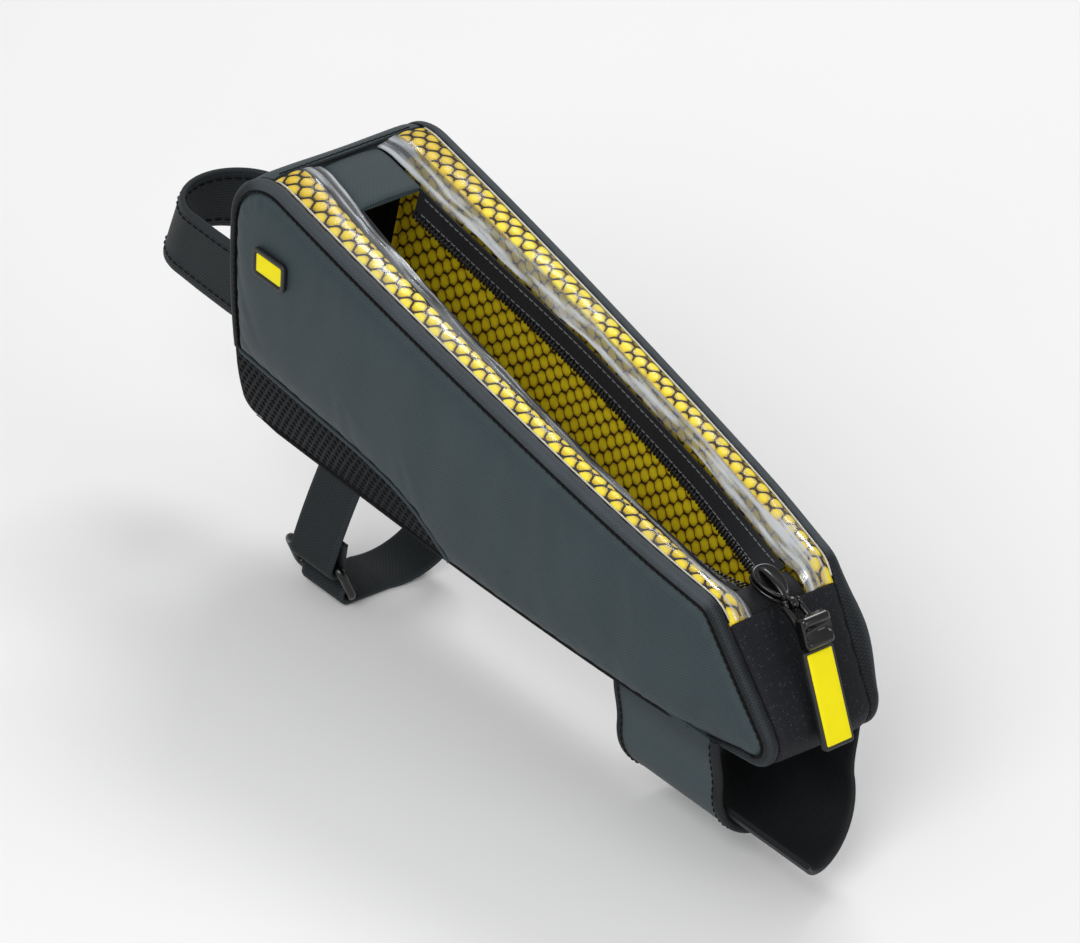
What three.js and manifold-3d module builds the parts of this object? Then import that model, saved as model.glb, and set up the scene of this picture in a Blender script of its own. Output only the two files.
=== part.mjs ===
// Wedge-shaped top tube bag with its zip open, its two straps closed and a loop at its front.
// Sizes are in millimetres. X runs along the bag with its tall front at -X, Z is up, and the origin
// lies on the underside of the base. The bag is even about y = 0.
import * as THREE from 'three';
import { mergeVertices } from 'three/addons/utils/BufferGeometryUtils.js';
import Module from 'manifold-3d';

const wasm = await Module();
wasm.setup();

// Side outline: corners of the wedge and how far each is rounded
const OUTLINE = [
  { x: -116, z: 0, round: 6 },
  { x: -113.5, z: 92.5, round: 18 },
  { x: 89.9, z: 43.73, round: 10 },
  { x: 123.2, z: 0, round: 7.5 },
];

// Half widths along the bag: at the top edge, at the base, and the belly between them
const WIDTHS = [
  { x: -114, top: 31, base: 21, belly: 1.0 },
  { x: -57, top: 31, base: 23, belly: 2.0 },
  { x: 0, top: 29.5, base: 24.5, belly: 2.0 },
  { x: 60, top: 26.5, base: 24, belly: 1.5 },
  { x: 92, top: 22.8, base: 22, belly: 0.8 },
  { x: 118, top: 19.5, base: 19, belly: 0.3 },
];

// The opening: half width at the film's edge, half width at the coil, and the droop of the edge
const MOUTH = [
  { x: -98, edge: 10.5, coil: 7.5, droop: 0.8 },
  { x: -60, edge: 13, coil: 11, droop: 2.5 },
  { x: -10, edge: 15, coil: 13.2, droop: 2.5 },
  { x: 40, edge: 14.2, coil: 11.5, droop: 2.8 },
  { x: 65, edge: 12.5, coil: 7.5, droop: 3.4 },
  { x: 84, edge: 10.8, coil: 2.2, droop: 4.0 },
  { x: 95, edge: 10, coil: 1.8, droop: 1.6 },
];

// Upper edge of the mesh inset on the lower front of each side
const MESH_EDGE = [
  { x: -114, z: 23.5 },
  { x: -80, z: 21 },
  { x: -55, z: 18.6 },
  { x: -40, z: 15.6 },
  { x: -30, z: 11.4 },
  { x: -22, z: 5.6 },
  { x: -16, z: 0.2 },
];

// Lower edge of each side wall: level, then rising over the band at the rear corner
const PANEL_FOOT = [
  { x: -114, z: 0.4 },
  { x: 50, z: 0.4 },
  { x: 80, z: 0.9 },
  { x: 96, z: 2.3 },
  { x: 104, z: 3.4 },
];

const GAP = 0.4;
const MIN_ROUND = 1.2;
const PANEL_THICK = 3.4;
const PANEL_TUCK = 0.7;
const PANEL_PUFF = 2.4;
const BAND = 3.0;
const PANEL_INSET = BAND + GAP;
const WALL_THICK = 2.5;
const MESH_RECESS = 1.0;
const MESH_THICK = 2.0;
const MESH_REAR_X = -18.5;
const LINING_THICK = 0.8;
const LINING_INSET = 9;
const LINING_LIFT = 3.2;
const SEAM_X = -99.5;
const MOUTH_FRONT_X = -80;
const MOUTH_REAR_X = 84;
const COVER_REAR_X = 94;
const COVER_SINK = 0.5;
const COVER_DOME = 1.3;
const FILM_THICK = 1.0;
const NET_SHARE = 0.58;
const TAPE_WIDE = 9;
const TAPE_THICK = 1.0;
const COIL_ROUND = 0.9;
const SMALL = 1e-3;

// Smooth curve through one column of a table
function curve(rows, column, x) {
  const last = rows.length - 1;
  if (x <= rows[0].x) return rows[0][column];
  if (x >= rows[last].x) return rows[last][column];
  let k = 0;
  while (x > rows[k + 1].x) k += 1;
  const slope = (i) => {
    const a = rows[Math.max(i - 1, 0)];
    const b = rows[Math.min(i + 1, last)];
    return (b[column] - a[column]) / (b.x - a.x);
  };
  const run = rows[k + 1].x - rows[k].x;
  const t = (x - rows[k].x) / run;
  const t2 = t * t;
  const t3 = t2 * t;
  return rows[k][column] * (2 * t3 - 3 * t2 + 1) + slope(k) * run * (t3 - 2 * t2 + t)
    + rows[k + 1][column] * (3 * t2 - 2 * t3) + slope(k + 1) * run * (t3 - t2);
}

// Rounded side outline, moved inward by inset and lifted off the base by lift
function outlinePath(inset, lift) {
  const lines = OUTLINE.map((p, i) => {
    const q = OUTLINE[(i + 1) % OUTLINE.length];
    const long = Math.hypot(q.x - p.x, q.z - p.z);
    const dx = (q.x - p.x) / long;
    const dz = (q.z - p.z) / long;
    const move = i === OUTLINE.length - 1 ? lift : inset;
    return { x: p.x + dz * move, z: p.z - dx * move, dx, dz };
  });
  const rounded = OUTLINE.map((p, i) => {
    const a = lines[(i + lines.length - 1) % lines.length];
    const b = lines[i];
    const cross = a.dx * b.dz - a.dz * b.dx;
    const t = ((b.x - a.x) * b.dz - (b.z - a.z) * b.dx) / cross;
    const corner = { x: a.x + a.dx * t, z: a.z + a.dz * t };
    const turn = Math.acos(a.dx * b.dx + a.dz * b.dz);
    const round = Math.max(p.round - Math.max(inset, lift), MIN_ROUND);
    const run = round * Math.tan(turn / 2);
    const from = { x: corner.x - a.dx * run, z: corner.z - a.dz * run };
    const to = { x: corner.x + b.dx * run, z: corner.z + b.dz * run };
    const centre = { x: from.x + a.dz * round, z: from.z - a.dx * round };
    return { from, to, centre, round, turn, a, b };
  });
  const pieces = [];
  let start = 0;
  rounded.forEach((corner, i) => {
    const next = rounded[(i + 1) % rounded.length];
    const bend = corner.round * corner.turn;
    pieces.push({ start, length: bend, corner });
    start += bend;
    const straight = Math.hypot(next.from.x - corner.to.x, next.from.z - corner.to.z);
    pieces.push({ start, length: straight, line: corner.b, from: corner.to });
    start += straight;
  });
  const at = (s) => {
    let k = pieces.length - 1;
    while (k > 0 && s < pieces[k].start) k -= 1;
    const piece = pieces[k];
    const along = s - piece.start;
    if (piece.line) {
      const { dx, dz } = piece.line;
      return { x: piece.from.x + dx * along, z: piece.from.z + dz * along, nx: dz, nz: -dx };
    }
    const { centre, round, a } = piece.corner;
    const angle = Math.atan2(a.dx, -a.dz) - along / round;
    const nx = -Math.cos(angle);
    const nz = -Math.sin(angle);
    return { x: centre.x - nx * round, z: centre.z - nz * round, nx, nz };
  };
  return { at, pieces, length: start };
}

// Stations along the outline between two lengths, denser in the bends
function stations(path, from, to, step, bendStep) {
  const marks = [from];
  path.pieces.forEach((piece) => {
    const count = Math.max(1, Math.round(piece.length / (piece.line ? step : bendStep)));
    for (let i = 0; i <= count; i += 1) {
      const s = piece.start + (piece.length * i) / count;
      if (s > marks[marks.length - 1] + 0.3 && s < to - 0.3) marks.push(s);
    }
  });
  marks.push(to);
  return marks.map((s) => path.at(s));
}

// Lowest and highest point of the outline at one x
function outlineSpan(path) {
  const ring = stations(path, 0, path.length, 12, 1.2);
  const low = Math.min(...ring.map((p) => p.x));
  const high = Math.max(...ring.map((p) => p.x));
  const span = (x) => {
    const px = Math.min(Math.max(x, low + SMALL), high - SMALL);
    const hits = [];
    ring.forEach((p, i) => {
      const q = ring[(i + 1) % ring.length];
      if ((p.x - px) * (q.x - px) <= 0 && Math.abs(p.x - q.x) > 1e-9) {
        hits.push(p.z + ((q.z - p.z) * (px - p.x)) / (q.x - p.x));
      }
    });
    return { low: Math.min(...hits), high: Math.max(...hits) };
  };
  return { span, low, high };
}

const outer = outlinePath(0, 0);
const outerSpan = outlineSpan(outer);
const topZ = (x) => outerSpan.span(x).high;
const [FOOT, FRONT, , TOP, , REAR, REAR_FOOT] = outer.pieces;

const SPAN_FLOOR = 14;

// Height of the wedge with its corners left sharp
function sharpTop(x) {
  const line = (a, b) => a.z + ((b.z - a.z) * (x - a.x)) / (b.x - a.x);
  return Math.max(Math.min(line(OUTLINE[1], OUTLINE[2]), line(OUTLINE[2], OUTLINE[3])), SPAN_FLOOR);
}

// Half width of the bag at a point of its side
function halfWidth(x, z) {
  const t = Math.min(Math.max(z / sharpTop(x), 0), 1);
  const base = curve(WIDTHS, 'base', x);
  const top = curve(WIDTHS, 'top', x);
  return base + (top - base) * t * (2 - t) + curve(WIDTHS, 'belly', x) * 4 * t * (1 - t);
}

// Closed solid from a list of corner points and triangles, turned the right way out
function solid(name, points, faces, material) {
  const flat = new Float32Array(points.length * 3);
  points.forEach((p, i) => flat.set([p.x, p.y, p.z], i * 3));
  let volume = 0;
  faces.forEach(([a, b, c]) => {
    const cross = new THREE.Vector3().crossVectors(points[b], points[c]);
    volume += points[a].dot(cross);
  });
  const order = volume < 0 ? faces.map(([a, b, c]) => [a, c, b]) : faces;
  const geometry = new THREE.BufferGeometry();
  geometry.setAttribute('position', new THREE.BufferAttribute(flat, 3));
  geometry.setIndex(order.flat());
  geometry.computeVertexNormals();
  const mesh = new THREE.Mesh(geometry, material);
  mesh.name = name;
  return mesh;
}

// Sheet with thickness: two grids of points joined round their rim, with diagonals towards the middle
function slab(name, columns, rows, faceAt, backAt, material) {
  const points = [];
  const faces = [];
  const id = (i, j, back) => (i * rows + j) * 2 + back;
  for (let i = 0; i < columns; i += 1) {
    for (let j = 0; j < rows; j += 1) points.push(faceAt(i, j), backAt(i, j));
  }
  const quad = (a, b, c, d) => faces.push([a, b, c], [a, c, d]);
  for (let i = 0; i + 1 < columns; i += 1) {
    for (let j = 0; j + 1 < rows; j += 1) {
      const front = [id(i, j, 0), id(i + 1, j, 0), id(i + 1, j + 1, 0), id(i, j + 1, 0)];
      const back = [id(i, j, 1), id(i, j + 1, 1), id(i + 1, j + 1, 1), id(i + 1, j, 1)];
      const turned = (2 * i < columns - 2) !== (2 * j < rows - 2);
      [front, back].forEach(([a, b, c, d]) => (turned ? quad(b, c, d, a) : quad(a, b, c, d)));
    }
    quad(id(i, 0, 0), id(i, 0, 1), id(i + 1, 0, 1), id(i + 1, 0, 0));
    quad(id(i, rows - 1, 0), id(i + 1, rows - 1, 0), id(i + 1, rows - 1, 1), id(i, rows - 1, 1));
  }
  for (let j = 0; j + 1 < rows; j += 1) {
    quad(id(0, j, 0), id(0, j + 1, 0), id(0, j + 1, 1), id(0, j, 1));
    const end = columns - 1;
    quad(id(end, j, 0), id(end, j, 1), id(end, j + 1, 1), id(end, j + 1, 0));
  }
  return solid(name, points, faces, material);
}

// Solid swept through a row of like sections, capped at both ends
function loft(name, sections, material) {
  const round = sections[0].length;
  const points = sections.flat();
  const faces = [];
  for (let i = 0; i + 1 < sections.length; i += 1) {
    for (let k = 0; k < round; k += 1) {
      const a = i * round + k;
      const b = i * round + ((k + 1) % round);
      faces.push([a, b, b + round], [a, b + round, a + round]);
    }
  }
  const end = (sections.length - 1) * round;
  for (let k = 1; k + 1 < round; k += 1) {
    faces.push([0, k + 1, k], [end, end + k, end + k + 1]);
  }
  return solid(name, points, faces, material);
}

// Joins closed geometries into one solid, less the cut ones
function joined(name, adds, cuts, material) {
  const body = (geometry) => {
    const bare = geometry.clone();
    bare.deleteAttribute('normal');
    bare.deleteAttribute('uv');
    const merged = mergeVertices(bare, 1e-4);
    return new wasm.Manifold(new wasm.Mesh({
      numProp: 3,
      vertProperties: new Float32Array(merged.attributes.position.array),
      triVerts: new Uint32Array(merged.index.array),
    }));
  };
  let whole = body(adds[0]);
  adds.slice(1).forEach((geometry) => { whole = whole.add(body(geometry)); });
  cuts.forEach((geometry) => { whole = whole.subtract(body(geometry)); });
  const made = whole.getMesh();
  const geometry = new THREE.BufferGeometry();
  geometry.setAttribute('position', new THREE.BufferAttribute(new Float32Array(made.vertProperties), 3));
  geometry.setIndex(new THREE.BufferAttribute(new Uint32Array(made.triVerts), 1));
  geometry.computeVertexNormals();
  const mesh = new THREE.Mesh(geometry, material);
  mesh.name = name;
  return mesh;
}

const paint = (color, roughness) => new THREE.MeshStandardMaterial({ color, roughness, metalness: 0 });
const coatedGrey = paint(0x45494f, 0.55);
const wovenBlack = paint(0x17171a, 0.8);
const meshBlack = paint(0x1c1a1c, 0.9);
const netYellow = paint(0xe8c21a, 0.5);
const clearFilm = paint(0xc9ccd0, 0.15);
const webbing = paint(0x26282b, 0.8);
const glossBlack = paint(0x0b0b0d, 0.25);
const matteBlack = paint(0x141416, 0.5);
const tabYellow = paint(0xf2e600, 0.45);
const SIDES = [{ label: 'left', sign: -1 }, { label: 'right', sign: 1 }];
const at = (x, y, z) => new THREE.Vector3(x, y, z);

// Rim of the padded side walls in four stretches: along the foot and mesh inset, the top, front and rear
const PANEL_COLUMNS = 34;
const PANEL_ROWS = 9;
const PUFF_RUN = 3.2;
const EASE_SHARE = 0.65;
const panelPath = outlinePath(PANEL_INSET, PANEL_INSET);
const [, WALL_FRONT, WALL_FRONT_TOP, , WALL_REAR_TOP, , WALL_REAR_FOOT] = panelPath.pieces;
const meshEdge = (x) => curve(MESH_EDGE, 'z', x);
const panelFoot = (x) => curve(PANEL_FOOT, 'z', x);
const middleOf = (piece) => piece.start + piece.length / 2;
const rimPart = (from, to) => stations(panelPath, from, to, 3, 0.6);
const frontFootZ = meshEdge(OUTLINE[0].x) + GAP;
const frontFoot = WALL_FRONT.start + (frontFootZ - WALL_FRONT.from.z) / WALL_FRONT.line.dz;
const rearFootEnd = WALL_REAR_FOOT.start + WALL_REAR_FOOT.length;
const footFrom = panelPath.at(frontFoot).x;
const footTo = panelPath.at(rearFootEnd).x;
const FOOT_STEPS = 90;
const footLine = Array.from({ length: FOOT_STEPS }, (_, i) => {
  const x = footFrom + ((footTo - footFrom) * i) / FOOT_STEPS;
  return { x, z: Math.max(panelFoot(x), meshEdge(x) + GAP) };
});
const wallRim = {
  foot: [...footLine, ...rimPart(middleOf(WALL_REAR_FOOT), rearFootEnd).reverse()],
  top: rimPart(middleOf(WALL_FRONT_TOP), middleOf(WALL_REAR_TOP)),
  front: rimPart(frontFoot, middleOf(WALL_FRONT_TOP)),
  rear: rimPart(middleOf(WALL_REAR_TOP), middleOf(WALL_REAR_FOOT)).reverse(),
};

// Points along a line, closer together near its ends
function eased(line, count) {
  const reach = [0];
  line.slice(1).forEach((p, i) => reach.push(reach[i] + Math.hypot(p.x - line[i].x, p.z - line[i].z)));
  return Array.from({ length: count }, (_, i) => {
    const s = reach[reach.length - 1] * ease(i / (count - 1));
    let k = 0;
    while (k < line.length - 2 && reach[k + 1] < s) k += 1;
    const t = (s - reach[k]) / (reach[k + 1] - reach[k]);
    const blend = (key) => line[k][key] + (line[k + 1][key] - line[k][key]) * t;
    return { x: blend('x'), z: blend('z') };
  });
}

function ease(t) {
  return t + EASE_SHARE * (0.5 - 0.5 * Math.cos(Math.PI * t) - t);
}

// Grid between the four stretches of the rim, with each point's distance from the rim
function wallGrid() {
  const foot = eased(wallRim.foot, PANEL_COLUMNS);
  const top = eased(wallRim.top, PANEL_COLUMNS);
  const front = eased(wallRim.front, PANEL_ROWS);
  const rear = eased(wallRim.rear, PANEL_ROWS);
  const rim = Object.values(wallRim).flat();
  return foot.map((low, i) => front.map((fore, j) => {
    const u = ease(i / (PANEL_COLUMNS - 1));
    const v = ease(j / (PANEL_ROWS - 1));
    const mix = (key) => (1 - v) * low[key] + v * top[i][key] + (1 - u) * fore[key] + u * rear[j][key]
      - (1 - u) * ((1 - v) * foot[0][key] + v * top[0][key])
      - u * ((1 - v) * foot[PANEL_COLUMNS - 1][key] + v * top[PANEL_COLUMNS - 1][key]);
    const x = mix('x');
    const z = mix('z');
    return { x, z, rim: Math.min(...rim.map((p) => Math.hypot(p.x - x, p.z - z))) };
  }));
}

// Padded side wall that swells from its sewn rim
const wallPoints = wallGrid();

function sidePanel(name, sign) {
  const outside = (i, j) => {
    const { x, z, rim } = wallPoints[i][j];
    const swell = (PANEL_PUFF + PANEL_TUCK) * (1 - Math.exp(-rim / PUFF_RUN)) - PANEL_TUCK;
    return at(x, sign * (halfWidth(x, z) + swell), z);
  };
  const inside = (i, j) => {
    const { x, z } = wallPoints[i][j];
    return at(x, sign * (halfWidth(x, z) - PANEL_THICK), z);
  };
  return slab(name, PANEL_COLUMNS, PANEL_ROWS, outside, inside, coatedGrey);
}

// Narrow band between two seams, round the front, top and rear edges
const BAND_SECTION = [
  { depth: 0, side: 1 },
  { depth: 0, side: 0.57 },
  { depth: 0.1, side: 0.24 },
  { depth: 0.24, side: 0.1 },
  { depth: 0.57, side: 0 },
  { depth: 1, side: 0 },
  { depth: 1, side: 0.43 },
  { depth: 0.43, side: 1 },
];
const BAND_FOOT_Z = 24.4;
const BAND_TAIL_X = 84;

function edgeBand(name, sign) {
  const from = FRONT.start + BAND_FOOT_Z - FRONT.from.z;
  const to = REAR_FOOT.start + REAR_FOOT.length + REAR_FOOT.corner.to.x - BAND_TAIL_X;
  const sections = stations(outer, from, to, 8, 2.8).map((p) => BAND_SECTION.map(({ depth, side }) => {
    const onBase = p.z < SMALL && p.x > 0;
    const thin = onBase ? Math.min(1, (panelFoot(p.x) - GAP) / BAND) : 1;
    const x = p.x + p.nx * depth * BAND * thin;
    const z = p.z + p.nz * depth * BAND * thin;
    return at(x, sign * (halfWidth(x, z) - side * BAND), z);
  }));
  return loft(name, sections, wovenBlack);
}

// Leaf-shaped mesh inset, set back from the side wall
const MESH_COLUMNS = 14;
const MESH_ROWS = 5;
const meshSpan = outlineSpan(outlinePath(0.3, GAP));

function meshPanel(name, sign) {
  const from = meshSpan.low + 0.2;
  const place = (i, j, depth) => {
    const x = from + (MESH_REAR_X - from) * (1 - (1 - i / (MESH_COLUMNS - 1)) ** 1.4);
    const low = meshSpan.span(x).low;
    const high = Math.max(meshEdge(x) - GAP, low + 0.8);
    const z = low + ((high - low) * j) / (MESH_ROWS - 1);
    return at(x, sign * (halfWidth(x, z) - MESH_RECESS - depth), z);
  };
  return slab(name, MESH_COLUMNS, MESH_ROWS, (i, j) => place(i, j, 0),
    (i, j) => place(i, j, MESH_THICK), meshBlack);
}

// Yellow lining on the inner face of each side wall
const LINING_ROWS = 5;
const liningSpan = outlineSpan(outlinePath(LINING_INSET, LINING_LIFT));

function lining(name, sign) {
  const columns = 18;
  const from = liningSpan.low;
  const to = liningSpan.high - 1.5;
  const place = (i, j, depth) => {
    const x = from + ((to - from) * i) / (columns - 1);
    const { low, high } = liningSpan.span(x);
    const z = low + ((high - low) * j) / (LINING_ROWS - 1);
    return at(x, sign * (halfWidth(x, z) - PANEL_THICK - GAP - depth), z);
  };
  return slab(name, columns, LINING_ROWS, (i, j) => place(i, j, LINING_THICK),
    (i, j) => place(i, j, 0), netYellow);
}

// Front and rear walls, swept along the outline between the edge bands
const WALL_ROWS = 7;

function endWall(name, from, to, crown, material) {
  const line = stations(outer, from, to, 12, 2.6);
  const place = (i, j, depth) => {
    const p = line[i];
    const t = (2 * j) / (WALL_ROWS - 1) - 1;
    const ends = Math.sin((Math.PI * i) / (line.length - 1));
    const rise = crown * (1 - t * t) * ends - depth;
    const wide = halfWidth(p.x, p.z) - PANEL_INSET;
    const plumb = i === 0 && p.x > 0;
    const nx = plumb ? 0 : p.nx;
    const nz = plumb ? -1 : p.nz;
    return at(p.x - nx * rise, wide * t, p.z - nz * rise);
  };
  return slab(name, line.length, WALL_ROWS, (i, j) => place(i, j, 0),
    (i, j) => place(i, j, WALL_THICK), material);
}

const seamStart = TOP.start + (SEAM_X - TOP.from.x) / TOP.line.dx;
const coverEnd = REAR.start + (COVER_REAR_X - REAR.from.x) / REAR.line.dx;
const REAR_CROWN = 0.8;
const frontPanel = endWall('front_panel', FOOT.start, seamStart, 0, coatedGrey);
const rearPanel = endWall('rear_panel', coverEnd + GAP, REAR_FOOT.start + REAR_FOOT.length,
  REAR_CROWN, wovenBlack);

// Flat base between the side walls
const BASE_THICK = 2.4;
const BASE_COLUMNS = 12;
const baseFrom = FOOT.corner.from.x + GAP;
const baseTo = REAR_FOOT.corner.to.x - GAP;
const basePlace = (i, j, z) => {
  const x = baseFrom + ((baseTo - baseFrom) * i) / (BASE_COLUMNS - 1);
  const wide = halfWidth(x, 0) - PANEL_THICK - GAP;
  return at(x, wide * (j - 1), z);
};
const basePanel = slab('base_panel', BASE_COLUMNS, 3, (i, j) => basePlace(i, j, 0),
  (i, j) => basePlace(i, j, BASE_THICK), wovenBlack);

// Height of the top cover: share runs from the outer seam to the edge of the opening
function coverPoint(x, share, depth, sign) {
  const seam = halfWidth(x, topZ(x)) - PANEL_INSET;
  const edge = curve(MOUTH, 'edge', x);
  const y = seam + (edge - seam) * share;
  const droop = curve(MOUTH, 'droop', x) * share * share;
  const z = topZ(x) - COVER_SINK + COVER_DOME * Math.sin(Math.PI * share) - droop - depth;
  return at(x, sign * y, z);
}

const COVER_COLUMNS = 26;
const COVER_ROWS = 4;

function coverStrip(name, sign, from, to, startX, material) {
  const place = (i, j, depth) => {
    const x = startX + ((COVER_REAR_X - startX) * i) / (COVER_COLUMNS - 1);
    return coverPoint(x, from + ((to - from) * j) / (COVER_ROWS - 1), depth, sign);
  };
  return slab(name, COVER_COLUMNS, COVER_ROWS, (i, j) => place(i, j, 0),
    (i, j) => place(i, j, FILM_THICK), material);
}

// Zip tape with its coil, hanging from the film's edge and drawn in towards the slider
const TAPE_STATIONS = 24;

function zipTape(name, sign) {
  const from = MOUTH_FRONT_X + GAP;
  const to = MOUTH_REAR_X - GAP;
  const sections = [];
  for (let i = 0; i < TAPE_STATIONS; i += 1) {
    const x = from + ((to - from) * i) / (TAPE_STATIONS - 1);
    const edge = coverPoint(x, 1, FILM_THICK / 2, 1);
    const top = { y: edge.y - GAP, z: edge.z };
    const inward = top.y - curve(MOUTH, 'coil', x);
    const down = Math.sqrt(Math.max(TAPE_WIDE ** 2 - inward ** 2, 1));
    const along = { y: -inward / TAPE_WIDE, z: -down / TAPE_WIDE };
    const across = { y: along.z, z: -along.y };
    const spot = (u, v) => at(x, sign * (top.y + along.y * u + across.y * v),
      top.z + along.z * u + across.z * v);
    const bead = TAPE_WIDE - 2 * COIL_ROUND;
    sections.push([
      spot(bead, 0),
      spot(0, 0),
      spot(0, TAPE_THICK),
      spot(bead - 0.4, TAPE_THICK),
      spot(bead + 0.3, TAPE_THICK + COIL_ROUND),
      spot(TAPE_WIDE - 0.3, TAPE_THICK + COIL_ROUND),
      spot(TAPE_WIDE, TAPE_THICK),
      spot(TAPE_WIDE, 0),
    ]);
  }
  return loft(name, sections, wovenBlack);
}

// Plain pieces in the middle of the cover, ahead of the opening and behind it
function coverCentre(name, fromX, toX, thick, sink, material) {
  const columns = 4;
  const rows = 5;
  const place = (i, j, depth) => {
    const x = fromX + ((toX - fromX) * i) / (columns - 1);
    const wide = curve(MOUTH, 'edge', x) - GAP;
    const edge = coverPoint(x, 1, 0, 1);
    return at(x, wide * ((2 * j) / (rows - 1) - 1), edge.z - sink - depth);
  };
  return slab(name, columns, rows, (i, j) => place(i, j, 0), (i, j) => place(i, j, thick), material);
}

const GARAGE_THICK = 1.6;
const END_SINK = 0.6;
const zipGarage = coverCentre('zip_garage', SEAM_X + GAP, MOUTH_FRONT_X, GARAGE_THICK, 0, coatedGrey);
const zipEnd = coverCentre('zip_end', MOUTH_REAR_X, COVER_REAR_X, FILM_THICK, END_SINK, wovenBlack);

// Zip slider: rounded body over the zip's end with a lug that carries the pull's pin
const PIVOT = { x: 97.5, z: 39.6 };
const PIN_ROUND = 1.0;
const PIN_PLAY = 0.06;
const PIN_SIDES = 24;
const SLIDER = { x: 88.8, z: 41.7, half: 6.6, wide: 4.4, tall: 3.2, bevel: 0.6, tilt: 0.3 };
const LUG = { wide: 2.6, round: 2.3, reach: 5.5 };

const slideShape = new THREE.Shape();
slideShape.moveTo(-SLIDER.half, 0);
slideShape.bezierCurveTo(-SLIDER.half, SLIDER.wide, -1.5, SLIDER.wide, 1, SLIDER.wide * 0.94);
slideShape.bezierCurveTo(SLIDER.half * 0.75, SLIDER.wide * 0.7, SLIDER.half, SLIDER.wide * 0.45,
  SLIDER.half, 0);
slideShape.bezierCurveTo(SLIDER.half, -SLIDER.wide * 0.45, SLIDER.half * 0.75, -SLIDER.wide * 0.7,
  1, -SLIDER.wide * 0.94);
slideShape.bezierCurveTo(-1.5, -SLIDER.wide, -SLIDER.half, -SLIDER.wide, -SLIDER.half, 0);
const slideBody = new THREE.ExtrudeGeometry(slideShape, {
  depth: SLIDER.tall - 2 * SLIDER.bevel,
  bevelEnabled: true,
  bevelThickness: SLIDER.bevel,
  bevelSize: SLIDER.bevel,
  bevelOffset: -SLIDER.bevel,
  bevelSegments: 2,
  curveSegments: 7,
});
slideBody.translate(0, 0, SLIDER.bevel - SLIDER.tall / 2);
slideBody.rotateY(SLIDER.tilt);
slideBody.translate(SLIDER.x, 0, SLIDER.z);

// Cylinder that lies along Y
function crossPin(x, z, round, wide, sides) {
  const pin = new THREE.CylinderGeometry(round, round, wide, sides);
  pin.translate(x, 0, z);
  return pin;
}

// Box turned in the side plane, with its length along the given angle
function turnedBox(x, y, z, long, wide, tall, angle) {
  const box = new THREE.BoxGeometry(long, wide, tall);
  box.rotateY(-angle);
  box.translate(x, y, z);
  return box;
}

const lugAngle = Math.atan2(SLIDER.z - PIVOT.z, SLIDER.x - PIVOT.x);
const lugBar = turnedBox(PIVOT.x + (Math.cos(lugAngle) * LUG.reach) / 2, 0,
  PIVOT.z + (Math.sin(lugAngle) * LUG.reach) / 2, LUG.reach, LUG.wide, 2.8, lugAngle);
const zipSlider = joined('zip_slider',
  [slideBody, crossPin(PIVOT.x, PIVOT.z, LUG.round, LUG.wide, PIN_SIDES), lugBar],
  [crossPin(PIVOT.x, PIVOT.z, PIN_ROUND + PIN_PLAY, LUG.wide * 3, PIN_SIDES)], glossBlack);

// Pull: pin and arms on the slider's lug, a moulded hood at the elbow, and a stiff tab with a face
const ARM_ANGLE = -0.5;
const ARM_REACH = 10.2;
const ARM = { wide: 1.5, tall: 2.4 };
const ELBOW = { x: 106.5, z: 36.5 };
const TAB_ANGLE = -1.117;
const HOOD = { long: 9.2, wide: 10.2, tall: 4.6, round: 1.4, back: 4.2 };
const TAB = { long: 28.8, wide: 11.0, tall: 2.0, start: 5.4, round: 1.2, sink: 1.1 };
const FACE = { long: 26.6, wide: 9.0, tall: 0.6, start: 6.4, round: 0.5 };

// Rounded plate in the side plane's slanted frame: along runs down the tab, out points off the bag
function tabPlate(along, out, long, wide, tall, round, bevel) {
  const shape = new THREE.Shape();
  const x = long / 2 - round;
  const y = wide / 2 - round;
  shape.absarc(x, y, round, 0, Math.PI / 2);
  shape.absarc(-x, y, round, Math.PI / 2, Math.PI);
  shape.absarc(-x, -y, round, Math.PI, 1.5 * Math.PI);
  shape.absarc(x, -y, round, 1.5 * Math.PI, 2 * Math.PI);
  const plate = new THREE.ExtrudeGeometry(shape, {
    depth: tall - 2 * bevel,
    bevelEnabled: true,
    bevelThickness: bevel,
    bevelSize: bevel,
    bevelOffset: -bevel,
    bevelSegments: 1,
    curveSegments: 4,
  });
  plate.translate(along + long / 2, 0, out + bevel);
  plate.rotateY(-TAB_ANGLE);
  plate.translate(ELBOW.x, 0, ELBOW.z);
  return plate;
}

const armGap = LUG.wide / 2 + GAP + ARM.wide / 2;
const armMiddle = {
  x: PIVOT.x + (Math.cos(ARM_ANGLE) * ARM_REACH) / 2,
  z: PIVOT.z + (Math.sin(ARM_ANGLE) * ARM_REACH) / 2,
};
const arms = SIDES.map(({ sign }) => turnedBox(armMiddle.x, sign * armGap, armMiddle.z,
  ARM_REACH, ARM.wide, ARM.tall, ARM_ANGLE));
const eyes = SIDES.map(({ sign }) => {
  const eye = new THREE.CylinderGeometry(ARM.tall / 2 + 0.5, ARM.tall / 2 + 0.5, ARM.wide, PIN_SIDES);
  eye.translate(PIVOT.x, sign * armGap, PIVOT.z);
  return eye;
});
const hood = tabPlate(-HOOD.back, -1.3, HOOD.long, HOOD.wide, HOOD.tall, HOOD.round, 0.8);
const pullLink = joined('pull_link',
  [hood, ...arms, ...eyes, crossPin(PIVOT.x, PIVOT.z, PIN_ROUND, 2 * armGap, PIN_SIDES)], [], glossBlack);
const tabForm = tabPlate(TAB.start, -TAB.sink, TAB.long, TAB.wide, TAB.tall, TAB.round, 0.4);
const pullTab = joined('pull_tab', [tabForm], [], matteBlack);
const faceOut = TAB.tall - TAB.sink + 0.3;
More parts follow.
